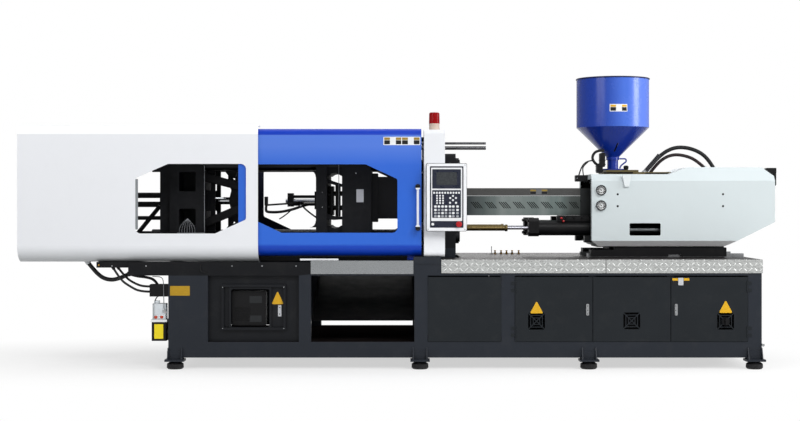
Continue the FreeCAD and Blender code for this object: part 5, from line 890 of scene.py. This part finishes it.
def gauge_clock(name, px, py, y, radius):
    """Dial gauge on the injection cover: rim, pale dial, marks and a needle."""
    c = at(px, py, y)
    Piece().lathe([(0, radius * 0.8), (2, radius), (9, radius), (11, radius * 0.94),
        (9, radius * 0.86), (5, radius * 0.84), (5, 0.5)], c, OUTWARD, 40).make(
        f"{name}_rim", "gauge_rim", CARRIAGE, 0)
    Piece().lathe([(5.1, radius * 0.8), (6, radius * 0.8), (6, 0.5)], c, OUTWARD, 40).make(
        f"{name}_dial", "dial", CARRIAGE, 0)
    Piece().lathe([(0, radius + 1.8), (3, radius + 1.8), (3, radius - 2), (0, radius - 2)], c,
        OUTWARD, 40, hollow=True).make(f"{name}_seat", "rubber_black", CARRIAGE, 0)
    marks = Piece()
    for i in range(11):
        a = math.radians(225 - 27 * i)
        for r, half in ((0.46, 1.7), (0.66, 3.1)):
            x, z = c.x + math.cos(a) * radius * r, c.z + math.sin(a) * radius * r
            marks.box((x - half, y - 6.6, z - half), (x + half, y - 5.9, z + half))
    marks.box((c.x - 6, y - 6.6, c.z - 17), (c.x + 6, y - 5.9, c.z - 12))
    marks.lathe([(6, 3.4), (8, 3), (8.4, 1)], c, OUTWARD, 16)
    needle = [(c.x - 2, c.z - 2), (c.x + 2, c.z + 1), (c.x - radius * 0.45, c.z + radius * 0.4)]
    marks.plate(needle, y - 7.4, y - 6.6)
    marks.make(f"{name}_marks", "label_black", CARRIAGE, 0)


def injection_details():
    body = "carriage_body"
    sticker("guard_label", body, 530, 189.2, 547.5, 194.6, low("barrel_guard").y - 0.8,
            [(530.2, 536), (541.6, 547.3)], "cable_grey", "label_gold")
    skin, right = low("barrel_guard"), 1055
    slots = []
    for i in range(32):
        x = 392 + 84.9 * (i // 4) + 12.6 * (i % 4)
        slots.append([(x, 953), (x + 6.4, 953), (x + 39, 914), (x + 32.6, 914)])
    pierced("guard_louvres", [[(skin.x + 1, skin.z + 1), (right, skin.z + 1), (right, 986),
        (skin.x + 1, 986)], *slots], skin.y - 2, skin.y - 1, "guard_steel", body)
    # painted shade: a dark sheet behind the louvre slots, for the shaded inside of the guard
    Piece().box((skin.x + 4, skin.y - 1, 908), (right - 3, skin.y + 0.4, 959)).make(
        "louvre_painted_shade", "rubber_black", body, 0)
    gauge_clock("upper_gauge", 601.2, 190.2, SHELL - 9, 29)
    gauge_clock("lower_gauge", 601.2, 205.5, SHELL - 9, 29)
    heads("cover_screws", "rubber_black", body,
          [(617.7, 194.3), (617.7, 206.2), (723, 194.2), (723, 206.1)], SHELL, 6.4, 1.2)
    near = -60
    wire("band_cable", trace(near, (604, 150.4), (597, 150.4), (592.6, 155), (592.4, 160),
        (597.4, 165.6), (602, 166)), 8, "hose", body, 10)
    wire("sensor_cable_left", trace(near, (592.4, 160.6), (587, 160.8), (581, 167), (578.6, 176)),
        4, "hose", body)
    wire("sensor_cable_right", trace(near, (588, 162, 6), (583, 166, 6), (582.6, 171, 6),
        (583.6, 176, 6)), 3.4, "hose", body)
    Piece().tile(575, 175.2, 591, 181.6, near, near - 26, near + 26, 5).make(
        "cable_box", "black_plastic", body, 1.5)
    heads("cable_box_screws", "steel", body, [(577, 178.4), (589, 178.4)], near - 26, 3, 1.6)
    valve = Piece()
    for px0, py0, px1, py1, front in ((599.6, 153, 604.8, 167, -20),
                                      (596.4, 163.6, 602.2, 173, -28)):
        a, b = at(px0, py1, near), at(px1, py0, near)
        valve.plate(rounded(a.x, b.x, a.z, b.z, 7), near + front, near + 36)
        for i in range(2):
            rib = a.z + 12 + 26 * i
            valve.box((a.x - 2.4, near + front - 3, rib), (b.x + 2.4, near + 30, rib + 6))
    valve.make("feed_valve", "black_plastic", body, 1.5)
    # painted shade: a dark sheet behind the slot in the injection cover
    Piece().plate(rounded(1392, 1622, 732, 836, 4), 302, 305).make(
        "cover_slot_painted_shade", "rubber_black", body, 0.5)
    plates = low("hopper_plates").y
    # painted shadow: black strips below the gold line of the hopper plates
    patch("gate_plate_painted_shadow", "rubber_black", body, 603.6, 172.1, 633, 173.7, plates - 0.8, 1, 2)
    patch("gate_plate_painted_shadow_rear", "rubber_black", body, 645, 173, 668, 174, plates - 0.8, 1, 1.5)
    right = high("injection_cover").x
    Piece().plate(rounded(right - 62, right - 0.5, 1124, 1156, 5), -160, -112).plate(
        rounded(right - 31, right - 0.5, 1052, 1130, 5), -156, -116).make(
        "plug_housing", "black_plastic", body, 2)
    wire("plug_cable", [(right - 14, -136, 1054), (right - 15, -136, 1028),
        (right - 24, -136, 1008), (right - 38, -136, 1004)], 5, "hose", body)
    Piece().plate([(1254, 1252), (1272, 1252), (1290, 1314), (1272, 1314)], -35, -33).make(
        "sight_glass", "label_black", body, 0.4)
    knob = at(626, 168, near)
    Piece().lathe([(0, 10), (6, 14), (20, 16), (26, 12), (28, 4)],
        (knob.x, near, high("hopper_plates").z - 1), UP, 28).make(
        "slide_knob", "black_plastic", body, 0)
    front = -176
    manifold = Piece().tile(557.2, 215.4, 589, 219.8, front + 26, front, front + 64, 4)
    for px in (566, 574, 582):
        c = at(px, 217.4, front)
        manifold.lathe([(-1, 9), (5, 9), (6, 6), (12, 6)], c, OUTWARD, 6)
    manifold.make("oil_manifold", "black_plastic", body, 1.5)
    heads("oil_union", "red_plastic", body, [(561.4, 218.2), (563.4, 221)], front - 1, 7, 9)
    sleeve = low("shift_cylinders").y + 45
    for i, y in enumerate((sleeve, 2 * AXIS_Y - sleeve)):
        Piece().lathe([(0, 12), (0, 19), (3, 20.5), (13, 20.5), (16, 19), (16, 12)], (594, y, 797),
            (1, 0, 0), 32).make(f"sleeve_collar_{i}", "sleeve_brass", BASE, 0)
    deck, row = high("deck_plates").z, 350          # top of the deck, plane of the fittings
    for i, px in enumerate((495, 501, 506.5, 512, 518.6)):
        Piece().lathe([(0, 9), (5, 9), (5, 6.5), (13, 6.5), (13, 4), (19, 4), (19, 7), (25, 6)],
            (at(px, 250, row).x, row, deck), UP, 12).make(f"grease_fitting_{i}", "brass", BASE, 0)
    Piece().lathe([(0, 8), (4, 8), (4, 2.4), (48, 2.4), (50, 1)],
        (at(491.5, 250, row).x, row, deck), UP, 12).make("deck_rod", "steel", BASE, 0)
    start, onward = (Vector((x, ARC_Y, z)) for x, z in HOSES["upper_arc_hose"][1][:2])
    along = (onward - start).normalized()
    coil = Piece()
    for i in range(12):
        coil.lathe([(0, 13.4), (3, 15), (6, 15), (9, 13.4)], start + along * (34 + 11 * i),
            along, 20)
    coil.make("hose_guard_rings", "hose_guard", body, 0)
    Piece().lathe([(0, 17), (16, 17), (18, 15), (30, 15)], start + along * 8, along, 6).make(
        "hose_union", "steel", body, 0.8)


def hopper_label():
    """Bare label bent round the hopper's cylinder."""
    radius = (high("hopper").x - low("hopper").x) / 2 - 4
    for name, finish, out, spans, rows in (
            ("hopper_label", "white_plastic", 0.9, ((609.8, 627.4),), (104, 111.4)),
            ("hopper_label_caps", "sign_yellow", 1.5, ((610.6, 616), (622, 626.8)),
             (104.7, 106.7)),
            ("hopper_label_blocks", "label_black", 1.5, ((610.6, 616), (622, 626.8)),
             (107.1, 110.7))):
        y = AXIS_Y - radius
        piece = Piece()
        for px0, px1 in spans:
            start, end = (math.asin((at(px, 108, y).x - HOPPER_X) / radius) for px in (px0, px1))
            top, bottom = (at(px0, row, y).z for row in rows)
            columns = []
            for i in range(9):
                a = start + (end - start) * i / 8
                columns.append([(HOPPER_X + r * math.sin(a), AXIS_Y - r * math.cos(a), z)
                    for r, z in ((radius - 0.3, bottom), (radius + out, bottom),
                                 (radius + out, top), (radius - 0.3, top))])
            piece.skin(columns)
        piece.make(name, finish, CARRIAGE, 0)


# ---- stage and light
FLOOR_BACK = 30.0       # the floor's middle lies this far behind the machine, in metres


def make_floor():
    """Pale floor, white to the camera, that keeps the shadow near the machine."""
    bpy.ops.mesh.primitive_plane_add(size=160, location=(0, FLOOR_BACK, -0.0005))
    floor = bpy.context.object
    floor.name = "floor"
    finish = Finish("floor")
    do = finish.math
    path = finish.node("LightPath").outputs
    seen = do("MAXIMUM", path["Is Camera Ray"],
              do("MAXIMUM", path["Is Glossy Ray"], path["Is Transmission Ray"]))
    pale = finish.mix(finish.noise(1.2, 2.0), (0.88, 0.88, 0.88, 1), (0.9, 0.9, 0.9, 1))
    finish.set(Base_Color=finish.mix(seen, (0.5, 0.5, 0.5, 1), pale), Roughness=0.9)
    x, y, _ = finish.axes()
    away = do("SQRT", do("ADD", do("POWER", do("MULTIPLY", x, 0.42), 2.0),
                         do("POWER", do("ADD", y, FLOOR_BACK), 2.0)))
    glow = finish.node("Emission", {"Color": (1, 1, 1, 1)}).outputs[0]
    white = do("MULTIPLY", finish.ramp(away, 0.8, 1.6, 0.6, 1.0), seen)
    blend = finish.node("MixShader", {0: white, 1: finish.shader.outputs["BSDF"], 2: glow})
    finish.feed(finish.surface, blend.outputs[0])
    floor.data.materials.append(finish.material)


def make_world():
    world = bpy.data.worlds.new("world")
    bpy.context.scene.world = world
    world.use_nodes = True
    tree = world.node_tree
    ground = tree.nodes["Background"].inputs
    ground["Color"].default_value = (1, 1, 1, 1)
    path = tree.nodes.new("ShaderNodeLightPath").outputs
    widest = tree.nodes.new("ShaderNodeMath")
    widest.operation = "MAXIMUM"
    level = tree.nodes.new("ShaderNodeMapRange")
    level.inputs["To Min"].default_value = 0.4
    for start, end in ((path["Is Camera Ray"], widest.inputs[0]),
                       (path["Is Transmission Ray"], widest.inputs[1]),
                       (widest.outputs[0], level.inputs["Value"]),
                       (level.outputs["Result"], ground["Strength"])):
        tree.links.new(start, end)


def lamp(name, place, target, size, power, mirrored=True):
    data = bpy.data.lights.new(name, "AREA")
    data.shape = "RECTANGLE"
    data.size, data.size_y = size
    data.energy = power
    light = placed(name, data)
    light.location = place
    direction = Vector(target) - Vector(place)
    light.rotation_euler = direction.to_track_quat("-Z", "Y").to_euler()
    light.visible_camera = False
    light.visible_glossy = mirrored


def make_lights():
    lamp("key", (2.8, -5.6, 4.6), (0.2, 0, 0.8), (4.5, 2.5), 255)
    lamp("fill", (-4.6, -5.4, 3.2), (-0.4, 0, 0.8), (4.0, 2.5), 108)
    lamp("low", (0.2, -5.2, 0.25), (0.2, 0, 0.95), (6.0, 0.5), 20, mirrored=False)
    lamp("top", (0.0, 0.6, 5.2), (0, 0, 0.8), (6.0, 3.0), 90)
    lamp("back", (0.5, 6.0, 3.4), (0, 0, 0.8), (5.0, 2.0), 80)
    lamp("side", (5.6, -1.6, 2.4), (1.2, 0, 1.5), (1.6, 2.4), 120)


# ---- run
make_camera()
make_materials()
finish_nodes()
make_hoses()
panel_details()
clamp_details()
base_details()
cabinet_details()
injection_details()
hopper_label()
make_floor()
make_world()
make_lights()
view_settings = bpy.context.scene.view_settings
view_settings.view_transform = "Standard"
